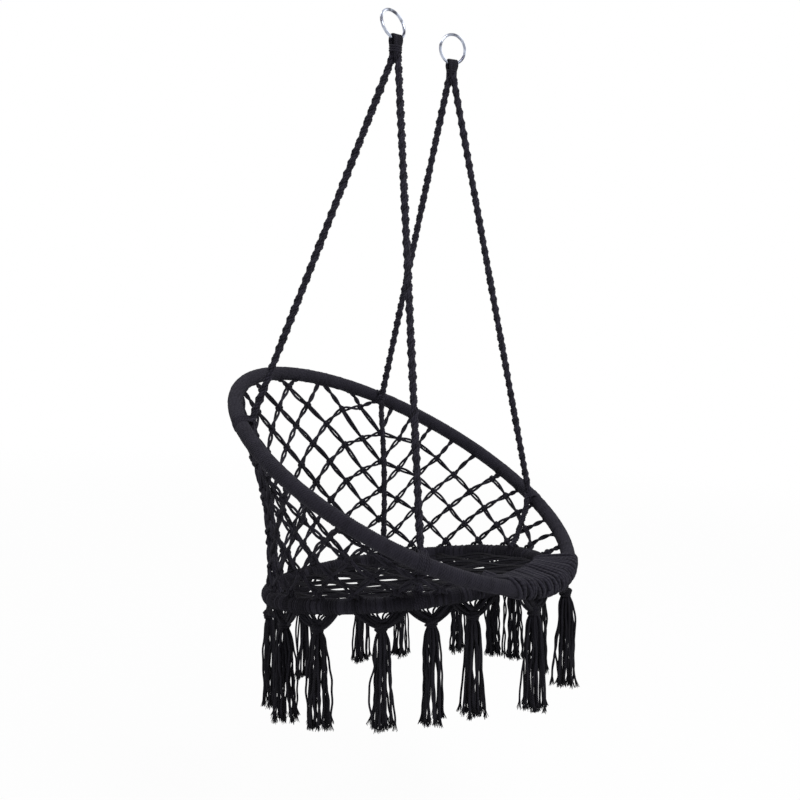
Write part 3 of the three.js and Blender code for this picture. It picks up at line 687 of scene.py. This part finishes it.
# The net's surface: from the seat hoop out along the straight line to the back hoop, drawn inwards
# between the two by bow * span * sin(pi * out / span)
def netPlace(angle, out, depth=0.0):
    angle = np.asarray(angle, float)
    start, end = hoopPoint(seatHoop, angle), hoopPoint(backHoop, angle)
    span = np.linalg.norm(end - start, axis=-1)
    line = unit(end - start)
    across = unit(hoopAxes(seatHoop, angle)[0] + hoopAxes(backHoop, angle)[0])
    inward = unit(np.cross(across, line))
    bow = netSheet["bow"] * span * np.sin(pi * np.clip(out / span, 0, 1))
    spot = start + line * np.asarray(out)[..., None] + inward * (np.asarray(depth) + bow)[..., None]
    return spot, line, across, inward


# The straight distance between the two hoops' centre lines at one angle
def netLength(angle):
    return np.linalg.norm(hoopPoint(backHoop, angle) - hoopPoint(seatHoop, angle), axis=-1)


lowerRoute = {"start": 0.010, "settle": 0.045, "steps": 40, "bendFrom": 0.06, "bendTo": 0.94}


# A rope goes straight from its neck to the back hoop and on along the net's surface to the seat hoop. It
# lies deeper by the hoops: depth = ropeDepth + byBack * smooth(1 - distance to the back hoop / settle) +
# the same by the seat's
def makeRope(index, word, rope):
    x = rope["side"] * ringSizes["half"]
    top = np.array((x, rope["lean"] * ropeTop["spread"], ropeTop["under"]))
    start = np.array((x, rope["lean"] * ropeTop["insideSpread"], ropeTop["inside"]))
    share = np.linspace(1, 0, lowerRoute["steps"])
    angle = rope["seat"] + (rope["back"] - rope["seat"]) * share
    length = netLength(angle)
    out = lowerRoute["start"] + (length - lowerRoute["start"]) * share
    depth = (netSheet["ropeDepth"] + netSheet["byBack"] * smooth(1 - (length - out) / lowerRoute["settle"])
             + netSheet["bySeat"] * smooth(1 - out / lowerRoute["settle"]))
    route = netPlace(angle, out, depth)[0]
    parts = sinnet([start, top, route[0]], ropeLook, ropeLook["seed"] + index)
    finishRigid(f"suspension_rope_{word}_knotted", parts, ropeCordPaintedLight, "back_frame", f"suspension_rope_{word}")
    parts = makeHitch(backHoop, rope["back"], route[0], hitch)
    finishRigid(f"hoop_hitch_{word}_cord", parts, ropeCordPaintedLight, "back_frame", f"hoop_hitch_{word}")
    parts = sinnet(route, lowerLook, lowerLook["seed"] + index)
    parts += makeHitch(seatHoop, rope["seat"], route[-1], seatHitch)
    finishBent(f"lower_rope_{word}_knotted", parts, ropeCordPaintedLight, f"lower_rope_{word}")


for index, (word, rope) in enumerate(ropes.items()):
    makeRope(index, word, rope)
print("ropes made")

# Back net: nine panels of knotted diamonds

net = {"columns": 36, "panels": 9, "panelColumns": 4, "halfAngle": pi / 22, "rows": 14,
       "firstRow": 0.026, "rowStep": 0.0383, "rowStretch": 0.0057,
       "ropeColumns": (12.2, 24.0), "ropePinch": 0.0085, "ropeReach": 1.5,
       "lastGap": 0.014, "sink": 0.011, "straightLegs": (8, 23), "straightShare": 0.88,
       "legSpread": 0.14, "rightFrom": 24, "rightLegSpread": 0.07, "search": 2.2, "searchSteps": 89,
       "bendFrom": 0.10, "bendTo": 0.90}


# A column's angle on both hoops: pi + (column - columns / 2) * halfAngle
def columnAngle(column):
    return pi + (column - net["columns"] / 2) * net["halfAngle"]


# Rows lie closer where a rope runs in the net: place = firstRow + row * (rowStep - rowStretch cos a - pinch)
def rowPlace(column, row):
    pinch = sum(np.exp(-((column - rope) / net["ropeReach"]) ** 2) for rope in net["ropeColumns"])
    pinch = pinch * net["ropePinch"]
    return net["firstRow"] + row * (net["rowStep"] - net["rowStretch"] * cos(columnAngle(column)) - pinch)


# How far out a column's last knot may lie
def knotLimit(column):
    return float(netLength(columnAngle(column))) - wrapRadius - net["lastGap"]


# The place on the back hoop that lies nearest to a knot, as a column
def nearestColumn(column, out):
    near = np.linspace(-net["search"], net["search"], net["searchSteps"]) + column
    gap = hoopPoint(backHoop, columnAngle(near)) - netPlace(columnAngle(column), out)[0]
    return float(near[np.argmin(np.linalg.norm(gap, axis=-1))])


# Where a strand from a knot meets the back hoop, as a column: straight on along the diamond for the
# columns in straightLegs, elsewhere beside the nearest place
def legEnd(column, side, out, share):
    if net["straightLegs"][0] <= column <= net["straightLegs"][1]:
        high = column + side * share * net["straightShare"]
    else:
        spread = net["legSpread"] if column < net["rightFrom"] else net["rightLegSpread"]
        high = nearestColumn(column, out) + side * spread
    return min(max(high, 0), net["columns"])


# The panel that a column belongs to: four columns to a panel, and the last column to the last one
def panelOf(column):
    return min(column // net["panelColumns"], net["panels"] - 1)


# Each strand is (column, out, column, out) and each knot (column, out). legs holds the indexes of the
# strands that reach the back hoop, backLegs and seatLegs the columns where strands are tied on
def netLayout():
    kinds = ("strands", "knots", "legs", "backLegs", "seatLegs")
    panels = [{kind: [] for kind in kinds} for _ in range(net["panels"])]
    for column in range(net["columns"] + 1):
        length = float(netLength(columnAngle(column)))
        for row in range(-1, net["rows"]):
            out = rowPlace(column, row)
            if (row + column) % 2 or (row >= 0 and out > knotLimit(column)):
                continue
            if row >= 0:
                panels[panelOf(column)]["knots"].append((column, out))
            for side in (-1, 1):
                other = column + side
                if not 0 <= other <= net["columns"]:
                    continue
                panel = panels[panelOf(min(column, other))]
                far = rowPlace(other, row + 1)
                meetsKnot = far < knotLimit(other)
                if row < 0 and meetsKnot:
                    low = column + side * ((net["sink"] - out) / (far - out))
                    panel["strands"].append((low, net["sink"], other, far))
                    panel["seatLegs"].append(low)
                elif meetsKnot:
                    panel["strands"].append((column, out, other, far))
                elif row >= 0:
                    high = legEnd(column, side, out, min((length - out) / (far - out), 1))
                    reach = float(netLength(columnAngle(high))) - net["sink"]
                    panel["strands"].append((column, out, high, reach))
                    panel["legs"].append(len(panel["strands"]) - 1)
                    panel["backLegs"].append(high)
    return panels


pairs = {"cord": 0.0028, "near": 0.0025, "far": 0.0039, "steps": 21, "fullness": 0.6, "stray": 0.0012,
         "eyesTurn": radians(260), "slitTurn": radians(150), "slitFrom": 0.75, "legTurn": radians(400),
         "turnUneven": 0.22, "eyesWidth": (0.7, 1.0), "slitWidth": (0.15, 0.6)}


# A strand is two cords that turn round each other: middle + gap * (cos w * sideways + sin w * inward).
# One that leads to a higher column turns 260 degrees and opens into two eyes, one that leads lower turns
# 150 and has one slit, and a leg turns 400 and stays shut
def makeStrands(strands, legs):
    strands = np.array(strands)
    leg = np.isin(np.arange(len(strands)), legs)[:, None]
    t = np.linspace(0, 1, pairs["steps"])
    column = strands[:, :1] + (strands[:, 2:3] - strands[:, :1]) * t
    out = strands[:, 1:2] + (strands[:, 3:] - strands[:, 1:2]) * t
    middle, _, _, inward = netPlace(columnAngle(column), out)
    count = len(strands)
    ahead = unit(np.gradient(middle, axis=1))
    sideways = unit(np.cross(inward, ahead))
    hasEyes = (strands[:, 2] > strands[:, 0])[:, None] & ~leg
    eyesTurned = pairs["eyesTurn"] * (t - 0.5) + pi / 2
    slitTurned = pairs["slitTurn"] * (t - pairs["slitFrom"])
    turned = np.where(leg, pairs["legTurn"] * t, np.where(hasEyes, eyesTurned, slitTurned))
    w = turned + rng.normal(0, pairs["turnUneven"], (count, 1))
    eyesWidth = rng.uniform(*pairs["eyesWidth"], (count, 1))
    slitWidth = rng.uniform(*pairs["slitWidth"], (count, 1))
    width = np.where(hasEyes, eyesWidth, slitWidth) * ~leg
    widest = (pairs["far"] - pairs["near"]) * width
    gap = pairs["near"] + widest * np.sin(pi * t) ** pairs["fullness"] * np.abs(np.cos(w))
    bow = rng.normal(0, pairs["stray"], (count, 1)) * np.sin(pi * t)
    middle = middle + bow[..., None] * sideways
    both = []
    for turn in (1, -1):
        aside, deeper = turn * gap * np.cos(w), turn * gap * np.sin(w)
        both.append(middle + aside[..., None] * sideways + deeper[..., None] * inward)
    return tubes(np.concatenate(both), pairs["cord"], np.concatenate((inward, inward)))


knot = {"millimetre": 0.001, "cord": 0.0021, "lean": 0.16, "size": (0.92, 1.12),
        "bandSteps": 12, "faceSteps": 9,
        "bandWidth": 4.7, "bandDepth": 3.8, "bandHeight": 2.1, "bandSlant": 0.9,
        "faceWidth": 3.4, "faceWave": 0.5, "faceNarrowing": 0.25, "faceHeight": 6.6, "faceDepth": 5.0,
        "faceFall": 4.4, "sidewaysShare": 0.4, "inwardLift": 0.0002}


# A square knot in its own frame, millimetres: two slanted bands round it, and on each face two cords that
# bow out, x = side * (3.4 + 0.5 cos(pi s)) * (1 - s^2 / 4), y = 6.6 s, z = face * (5 - 4.4 s^2)
def knotShapes():
    t = np.linspace(0, 2 * pi, knot["bandSteps"], endpoint=False)
    bands = []
    for high, lean in ((knot["bandHeight"], 0.0), (-knot["bandHeight"], pi)):
        x, z = knot["bandWidth"] * np.cos(t), knot["bandDepth"] * np.sin(t)
        bands.append(np.stack((x, high + knot["bandSlant"] * np.sin(t + lean), z), -1))
    s = np.linspace(-1, 1, knot["faceSteps"])
    faces = []
    for side in (-1, 1):
        for face in (-1, 1):
            x = side * (knot["faceWidth"] + knot["faceWave"] * np.cos(pi * s))
            x = x * (1 - knot["faceNarrowing"] * s * s)
            z = face * (knot["faceDepth"] - knot["faceFall"] * s ** 2)
            faces.append(np.stack((x, knot["faceHeight"] * s, z), -1))
    return np.array(bands) * knot["millimetre"], np.array(faces) * knot["millimetre"]


# Every knot at once: spot + x * sideways + y * upward + z * inward, leaned and sized at random
def makeKnots(knots):
    knots = np.array(knots, float)
    spot, line, across, inward = netPlace(columnAngle(knots[:, 0]), knots[:, 1])
    count = len(knots)
    lean = rng.normal(0, knot["lean"], count)[:, None]
    sideways = (np.cos(lean) * across + np.sin(lean) * line)[:, None, None]
    upward = (np.cos(lean) * line - np.sin(lean) * across)[:, None, None]
    spot, inward = spot[:, None, None], inward[:, None, None]
    size = rng.uniform(*knot["size"], (count, 1, 1, 1))
    parts = []
    for shapes, closed in zip(knotShapes(), (True, False)):
        local = shapes[None] * size
        x, y, z = local[..., :1], local[..., 1:2], local[..., 2:]
        paths = spot + x * sideways + y * upward + z * inward
        away = x * sideways * knot["sidewaysShare"] + z * inward
        away = away + knot["inwardLift"] * inward
        steps = shapes.shape[1]
        paths, away = paths.reshape(-1, steps, 3), away.reshape(-1, steps, 3)
        parts.append(tubes(paths, knot["cord"], away, closed=closed))
    return parts


ties = {"radius": 0.0143, "cord": 0.0021, "apart": 0.0018, "steps": 15, "sink": 0.0016, "sinkFrom": 0.75,
        "back": {"phase": -0.75 * pi, "reach": 1.3}, "seat": {"phase": 0.3 * pi, "reach": 2.2}}


# Loops where the strands are tied on, two by two: part of a turn round the tube on the net's side, from
# phase - reach to phase + reach, with ends that sink into the wrap
def makeLoops(hoop, columns, tie):
    angles = columnAngle(np.repeat(np.array(columns, float), 2))
    shift = np.tile((-ties["apart"], ties["apart"]), len(columns)) / hoop["radius"]
    reach = tie["reach"]
    t = np.linspace(-reach, reach, ties["steps"])
    phase = tie["phase"] + t
    endShare = (np.abs(t) - reach * ties["sinkFrom"]) / (reach * (1 - ties["sinkFrom"]))
    size = ties["radius"] - ties["sink"] * smooth(endShare)
    angle = (angles + shift)[:, None] + 0 * t
    path = roundHoop(hoop, angle, np.broadcast_to(phase, angle.shape), np.broadcast_to(size, angle.shape))
    return tubes(path, ties["cord"], path - hoopPoint(hoop, angle))


for index, panel in enumerate(netLayout()):
    parts = [makeStrands(panel["strands"], panel["legs"])] + makeKnots(panel["knots"])
    if panel["backLegs"]:
        parts.append(makeLoops(backHoop, panel["backLegs"], ties["back"]))
    if panel["seatLegs"]:
        parts.append(makeLoops(seatHoop, panel["seatLegs"], ties["seat"]))
    finishBent(f"back_net_panel_{index + 1}_knotted", parts, netCord, f"back_net_panel_{index + 1}")
print("back net made")

# Seat net

seat = {"pitch": 0.076, "alongPitch": 0.118, "slitWidth": 0.0500, "slitLength": 0.104, "slitRows": 6,
        "fan": 0.26, "perSlit": 8, "closest": 0.775, "shortestSquared": 0.0004, "cord": 0.0020, "rim": 0.2735,
        "steps": 72, "evenShare": 0.5,
        "wander": 0.0006, "wanderRate": 90, "pushGain": 1.1, "crowdFrom": 1.25, "crowdMost": 0.7,
        "sag": 0.014, "layer": 0.0005, "crowdLayer": 0.0032, "ripple": 0.0007, "rippleRate": 55,
        "up": (0, -0.17, 0.98)}
seatLoops = {"from": radians(24), "steps": 16, "slant": 0.004, "radius": 0.0139, "cord": 0.0019}


# A point of the seat in the world: x and y in the seat hoop's plane from its middle, z square to it
def seatPlace(x, y, z):
    rise, run = sin(seatHoop["pitch"]), cos(seatHoop["pitch"])
    middle = (hoopPoint(seatHoop, 0) + hoopPoint(seatHoop, pi)) / 2
    return np.stack((x, y * run - z * rise, y * rise + z * run), -1) + middle


# Cords from front to back that part round staggered slits: x = u * pitch * spread(y) + push, where push
# is largest beside a slit's middle and nothing half way to the next one, and z sags as 1 - (distance from
# middle)^2. A cord ends where its straight line meets the rim, at y = (-b - root) / a and (-b + root) / a
def makeSeat():
    radius, half = seatHoop["radius"], seat["perSlit"] // 2
    most = int(seatHoop["radius"] / (seat["pitch"] * seat["closest"]) * seat["perSlit"]) + half
    u = (np.arange(-most, most + 1) + 0.5) / seat["perSlit"]
    scale = u * seat["pitch"] * (1 - seat["fan"] / 2)
    slope = (seat["fan"] / 2) / (1 - seat["fan"] / 2) / radius
    a, b, c = scale ** 2 * slope ** 2 + 1, scale ** 2 * slope, scale ** 2 - seat["rim"] ** 2
    inside = b * b - a * c > seat["shortestSquared"]
    u, a, b, c = (values[inside] for values in (u, a, b, c))
    root = np.sqrt(b * b - a * c)
    low, high = (-b - root) / a, (-b + root) / a
    even = np.linspace(0, 1, seat["steps"])
    closerAtEnds = (1 - np.cos(np.linspace(0, pi, seat["steps"]))) / 2
    t = closerAtEnds * (1 - seat["evenShare"]) + even * seat["evenShare"]
    y = low[:, None] + (high - low)[:, None] * t
    spread = 1 - seat["fan"] * (1 - y / radius) / 2
    push = 0 * y
    for row in range(-seat["slitRows"], seat["slitRows"] + 1):
        fromRow = np.abs(y - row * seat["alongPitch"] / 2)
        near = np.clip(1 - fromRow / (seat["slitLength"] / 2), 0, 1)
        offset = u[:, None] - (0 if row % 2 == 0 else 0.5)
        part = offset - np.round(offset)
        push += smooth(near) * seat["slitWidth"] / 2 * np.sign(part) * (1 - 2 * np.abs(part))
    wander = seat["wander"] * np.sin(y * seat["wanderRate"] + anyPhase(rng, (len(u), 1)))
    x = u[:, None] * seat["pitch"] * spread + push * np.clip(spread * seat["pushGain"], 0, 1) + wander
    out = np.hypot(x, y) / radius
    crowd = np.clip(seat["crowdFrom"] - spread, 0, seat["crowdMost"])
    parity = np.where(np.arange(len(u)) % 2 == 0, 1, -1)[:, None]
    z = -seat["sag"] * np.clip(1 - out ** 2, 0, 1) + parity * (seat["layer"] + seat["crowdLayer"] * crowd)
    z = z + seat["ripple"] * np.sin(y * seat["rippleRate"] + anyPhase(rng, (len(u), 1)))
    parts = [tubes(seatPlace(x, y, z), seat["cord"], seat["up"])]

    ends = np.concatenate((np.arctan2(-x[:, 0], -y[:, 0]), np.arctan2(-x[:, -1], -y[:, -1])))
    ends = ends[np.abs(ends) > seatLoops["from"]]
    t = np.linspace(0, 2 * pi, seatLoops["steps"], endpoint=False)
    angle = ends[:, None] + seatLoops["slant"] * np.sin(t)
    phase, size = np.broadcast_to(t, angle.shape), np.broadcast_to(seatLoops["radius"], angle.shape)
    loop = roundHoop(seatHoop, angle, phase, size)
    parts.append(tubes(loop, seatLoops["cord"], loop - hoopPoint(seatHoop, angle), closed=True))
    finishRigid("seat_net_cords", parts, seatCordPaintedShade, "seat_frame", "seat_net")


makeSeat()
print("seat net made")

# Front lashing

lashing = {"cords": 32, "reach": radians(22.5), "placeUneven": 0.0025, "heightUneven": 0.0011,
           "cord": 0.0036, "sides": 7, "steps": 64, "sweep": 0.055, "sweepFrom": 0.3,
           "gathered": 0.70, "gatheredTo": 0.22, "wave": 0.012, "waveRate": 7,
           "seatTurns": (165, 150, 128, 105, 90), "seatSizes": (0.105, 0.060, 0.030, 0.0195, 0.0180),
           "frontTurns": 13, "frontSize": 0.0180,
           "underTurns": (-90, -115, -140), "underSizes": (0.0180, 0.0185, 0.020)}


# Cords that come out of the seat, run over the seat hoop and the back hoop, round the front and back
# underneath. A point is behind + (back - behind) * share + size * (cos turn * line + sin turn * up),
# where share is 0 at the seat hoop and 1 at the back hoop, and line runs from the one to the other
def makeLashing():
    steps, count = lashing["frontTurns"], lashing["cords"]
    front = np.linspace(90, -90, steps)
    turnAt = np.radians(np.concatenate((lashing["seatTurns"], front, lashing["underTurns"])))
    frontSizes = np.full(steps, lashing["frontSize"])
    size = np.concatenate((lashing["seatSizes"], frontSizes, lashing["underSizes"]))
    atSeat, underneath = np.zeros(len(lashing["seatTurns"])), np.zeros(len(lashing["underTurns"]))
    ahead = np.concatenate((atSeat, np.ones(steps), underneath))
    middle = np.linspace(-1, 1, count)[:, None] * lashing["reach"]
    middle = middle + rng.normal(0, lashing["placeUneven"], (count, 1))
    order = np.linspace(0, 1, len(turnAt))
    fine = np.linspace(0, 1, lashing["steps"])
    narrow = np.interp(fine, (0, lashing["gatheredTo"], 1), (lashing["gathered"], 1, 1))
    wave = lashing["wave"] * np.sin(fine * lashing["waveRate"] + anyPhase(rng, (count, 1)))
    angle = middle * narrow + lashing["sweep"] * (fine - lashing["sweepFrom"]) + wave
    back, behind = hoopPoint(backHoop, angle), hoopPoint(seatHoop, angle)
    line = unit(back - behind)
    up = unit(np.cross(line, hoopAxes(seatHoop, angle)[0]))
    share = np.interp(fine, order, ahead)[:, None]
    x = np.interp(fine, order, size * np.cos(turnAt))
    y = np.interp(fine, order, size * np.sin(turnAt)) + rng.normal(0, lashing["heightUneven"], (count, 1))
    path = behind + (back - behind) * share + x[:, None] * line + y[..., None] * up
    parts = [tubes(path, lashing["cord"], up, lashing["sides"])]
    finishBent("front_lashing_cord", parts, woundCord, "front_lashing")


makeLashing()
print("lashing made")

# Tassels

tassels = {"angles": [36, 53, 72, 99, 120, 146, 166, -171, -138, -119, -91, -72, -58, -30],
           "front": [14, -12],
           "fullness": [1.0, 1.05, 1.1, 1.1, 1.1, 0.72, 0.55, 0.75, 0.9, 0.85, 0.95, 0.9, 0.9, 0.9],
           "frontFullness": [1.1, 1.05], "lean": radians(3), "drop": 0.034, "length": 0.200, "cord": 0.0021,
           "knotHeight": 0.018, "seed": 7000}


# A point of a tassel: hook + x * side + y * front + z * down
def tasselPoint(axes, x, y, z):
    flat = axes["hook"] + x[..., None] * axes["side"] + y[..., None] * axes["front"]
    return flat + z[..., None] * axes["down"]


swag = {"cords": 9, "half": 0.050, "narrowing": 0.50, "halfUneven": 0.0015, "top": 0.011, "underKnot": 0.011,
        "rise": 0.014, "power": 1.8, "depthUneven": 0.0024, "wave": 0.0016, "waveRate": 5, "thickness": 1.2,
        "steps": 19, "crossFrom": (-0.019, -0.008, 0.008, 0.019), "crossTop": 0.013, "crossLift": 0.009,
        "crossOver": 0.25, "crossWave": 0.002, "crossWaveRate": 6, "crossFront": 0.001, "crossSteps": 10,
        "loopSlant": 0.003, "loopRadius": 0.0145, "loopSteps": 14}


# Swag: cords that hang from the rim in a U under the knot, z = top + (deep - top)(1 - |x / half|^1.8),
# two pairs that cross inside it, and a loop round the hoop where each is tied on
def makeSwag(axes, hoop, angle, own):
    count, drop = swag["cords"], tassels["drop"]
    level = np.arange(count)[:, None] / (count - 1)
    half = swag["half"] * (1 - swag["narrowing"] * level) + own.normal(0, swag["halfUneven"], (count, 1))
    deep = drop + swag["underKnot"] - swag["rise"] * level
    t = np.linspace(-1, 1, swag["steps"])
    x, z = half * t, swag["top"] + (deep - swag["top"]) * (1 - np.abs(t) ** swag["power"])
    y = own.normal(0, swag["depthUneven"], (count, 1))
    y = y + swag["wave"] * np.sin(swag["waveRate"] * t + anyPhase(own, (count, 1)))
    slope = half / hoop["radius"]
    rim = np.stack([hoopPoint(hoop, angle - slope[:, 0] * k) for k in (1, -1)], 1)
    lower = (rim - axes["hook"]) @ axes["down"]      # how much lower the rim is at each end of the swag
    lift = lower[:, :1] * (t < 0) * t ** 2 + lower[:, 1:] * (t >= 0) * t ** 2
    path = tasselPoint(axes, x, y, z + lift)
    parts = [tubes(path, tassels["cord"] * swag["thickness"], axes["front"])]
    t = np.linspace(0, 1, swag["crossSteps"])
    begin = np.array(swag["crossFrom"])[:, None]
    wave = swag["crossWave"] * np.sin(swag["crossWaveRate"] * t)
    x = begin * (1 - t) - swag["crossOver"] * begin * t + wave
    z = np.broadcast_to(swag["crossTop"] + (drop - swag["crossLift"]) * t, x.shape)
    parts.append(tubes(tasselPoint(axes, x, 0 * x + swag["crossFront"], z), tassels["cord"], axes["front"]))
    places = angle + np.concatenate((half[:, 0], -half[:, 0], begin[:, 0])) / hoop["radius"]
    t = np.linspace(0, 2 * pi, swag["loopSteps"], endpoint=False)
    ring = places[:, None] + swag["loopSlant"] * np.sin(t)
    phase, size = np.broadcast_to(t, ring.shape), np.broadcast_to(swag["loopRadius"], ring.shape)
    loops = roundHoop(hoop, ring, phase, size)
    parts.append(tubes(loops, tassels["cord"], loops - hoopPoint(hoop, ring), closed=True))
    return parts


tasselKnot = {"turns": 3.4, "steps": 60, "radius": 0.0098, "rounding": 0.0012, "inset": 0.002, "cord": 0.0026,
              "sides": 7, "bandRadius": 0.0112, "bandSteps": 18, "bandSlant": (0.5, 0.8), "bandRise": 0.0082,
              "bandPhase": 0.7, "core": 0.0062, "coreSteps": 4, "coreSides": 8}


# Knot: turns round a core, radius - rounding * (height from the middle)^2, with one band slanted over them
def makeTasselKnot(axes, own):
    steps, top, high = tasselKnot["steps"], tassels["drop"], tassels["knotHeight"]
    t = np.linspace(0, 2 * pi * tasselKnot["turns"], steps)
    size = tasselKnot["radius"] - tasselKnot["rounding"] * np.linspace(-1, 1, steps) ** 2
    z = top + tasselKnot["inset"] + (high - 2 * tasselKnot["inset"]) * t / t[-1]
    wrap = tasselPoint(axes, size * np.cos(t), size * np.sin(t), z)
    middle = tasselPoint(axes, np.zeros(steps), np.zeros(steps), z)
    sides = tasselKnot["sides"]
    parts = [tubes(wrap[None], tasselKnot["cord"], (wrap - middle)[None], sides)]
    steps, radius = tasselKnot["bandSteps"], tasselKnot["bandRadius"]
    t = np.linspace(0, 2 * pi, steps, endpoint=False) + anyPhase(own)
    slant = own.uniform(*tasselKnot["bandSlant"])
    rise = slant * tasselKnot["bandRise"] * np.cos(t + tasselKnot["bandPhase"])
    band = tasselPoint(axes, radius * np.cos(t), radius * np.sin(t), top + high / 2 + rise)
    centre = tasselPoint(axes, np.zeros(steps), np.zeros(steps), np.full(steps, top + high / 2))
    parts.append(tubes(band[None], tasselKnot["cord"], (band - centre)[None], sides, closed=True))
    steps = tasselKnot["coreSteps"]
    core = tasselPoint(axes, np.zeros(steps), np.zeros(steps), np.linspace(top, top + high, steps))
    sides = tasselKnot["coreSides"]
    parts.append(tubes(core[None], tasselKnot["core"], axes["side"], sides, tone=coreShadeTone))
    return parts


skirt = {"cords": 19, "steps": 24, "inner": 0.6, "turn": 2.4, "turnUneven": 0.12, "shortening": 0.005,
         "lengthUneven": (-0.007, 0.003), "overlap": 0.004, "widthAt": (0, 0.10, 0.22, 0.6, 1.0),
         "width": (0.0070, 0.0140, 0.0160, 0.0195, 0.0240), "stiffTo": 0.4,
         "wave": 0.0028, "waveRate": (3, 8), "ripple": 0.0006, "rippleRate": (20, 34),
         "strays": 2, "stray": (0.004, 0.012), "strayPeak": 1.15}


# Skirt: cords spread from the knot to the shoulder and down, each with its own drift: x = width * ring *
# cos turn + waves, y the same with sin, where ring = sqrt((order + 0.6) / count) and turn = 2.4 * order
def skirtPaths(axes, own, fullness):
    count, high = round(skirt["cords"] * fullness), tassels["knotHeight"]
    order = own.permutation(count)
    ring = np.sqrt((order + skirt["inner"]) / count)[:, None]
    turn = (skirt["turn"] * order + own.normal(0, skirt["turnUneven"], count))[:, None]
    length = tassels["length"] - skirt["shortening"] - high + own.uniform(*skirt["lengthUneven"], (count, 1))
    t = np.linspace(0, 1, skirt["steps"])
    z = tassels["drop"] + high - skirt["overlap"] + length * t
    width = np.interp(t, skirt["widthAt"], skirt["width"]) * fullness
    growth = smooth(t / skirt["stiffTo"])

    def wave():
        deep = own.normal(0, skirt["wave"], (count, 1))
        rate = own.uniform(*skirt["waveRate"], (count, 1))
        return deep * np.sin(t * rate + anyPhase(own, (count, 1)))

    waveX, waveY = wave(), wave()
    rate = own.uniform(*skirt["rippleRate"], (count, 1))
    ripple = skirt["ripple"] * np.sin(t * rate + anyPhase(own, (count, 1)))
    stray = np.zeros((count, 1))
    strayBy = own.uniform(*skirt["stray"])
    stray[own.integers(0, count, skirt["strays"])] = strayBy
    swell = width * ring + stray * np.sin(pi * np.clip(t * skirt["strayPeak"], 0, 1)) ** 2
    x = swell * np.cos(turn) + (waveX + ripple) * growth
    y = swell * np.sin(turn) + (waveY + ripple) * growth
    return tasselPoint(axes, x, y, np.broadcast_to(z, x.shape))


fray = {"fibres": 14, "steps": 4, "gap": 0.0012, "open": (0.0004, 0.0056), "openPower": 1.3,
        "reach": (0.013, 0.018), "inset": 0.005, "fibre": 0.0009, "thinning": 0.45, "sides": 3}


# Frayed ends: fibres round each cut end, tip + ahead * reach * t + (gap + open * t^1.3) * (cos turn * side +
# sin turn * front)
def makeFray(axes, own, paths):
    count, fibres, steps = len(paths), fray["fibres"], fray["steps"]
    tip, before = paths[:, -1], paths[:, -2]
    ahead = unit(tip - before)[:, None, None]
    turn = (2 * pi * np.arange(fibres) / fibres)[None, :, None] + own.random((count, fibres, 1))
    t = np.linspace(0, 1, steps)
    opened = fray["gap"] + own.uniform(*fray["open"], (count, fibres, 1)) * t ** fray["openPower"]
    reach = own.uniform(*fray["reach"], (count, fibres, 1)) * t - fray["inset"]
    outward = np.cos(turn)[..., None] * axes["side"] + np.sin(turn)[..., None] * axes["front"]
    brush = tip[:, None, None] + ahead * reach[..., None] + opened[..., None] * outward
    thin = np.broadcast_to(fray["fibre"] * (1 - fray["thinning"] * t), (count * fibres, steps))
    return tubes(brush.reshape(-1, steps, 3), thin, axes["side"], fray["sides"])


# A tassel hangs from a hoop at angle. Its axes: down, which points 3 degrees forward, side, along the hoop
# and square to down, and front = side x down
def makeTassel(node, hoop, angle, body, fullness):
    own = np.random.default_rng(int(angle * 100) + tassels["seed"])
    down = np.array((0, -sin(tassels["lean"]), -cos(tassels["lean"])))
    along = hoopAxes(hoop, angle)[0]
    side = unit(along - along.dot(down) * down)
    axes = {"hook": hoopPoint(hoop, angle), "side": side, "front": np.cross(-down, side), "down": down}
    parts = makeSwag(axes, hoop, angle, own) + makeTasselKnot(axes, own)
    paths = skirtPaths(axes, own, fullness)
    parts.append(tubes(paths, tassels["cord"], axes["front"]))
    parts.append(makeFray(axes, own, paths))
    finishRigid(f"{node}_cords", parts, tasselCordPaintedShade, body, node)


for index, (angle, fullness) in enumerate(zip(tassels["angles"], tassels["fullness"])):
    makeTassel(f"tassel_{index + 1:02d}", seatHoop, radians(angle) % (2 * pi), "seat_frame", fullness)
for index, (angle, fullness) in enumerate(zip(tassels["front"], tassels["frontFullness"])):
    makeTassel(f"front_tassel_{index + 1}", backHoop, radians(angle) % (2 * pi), "back_frame", fullness)
print("tassels made")
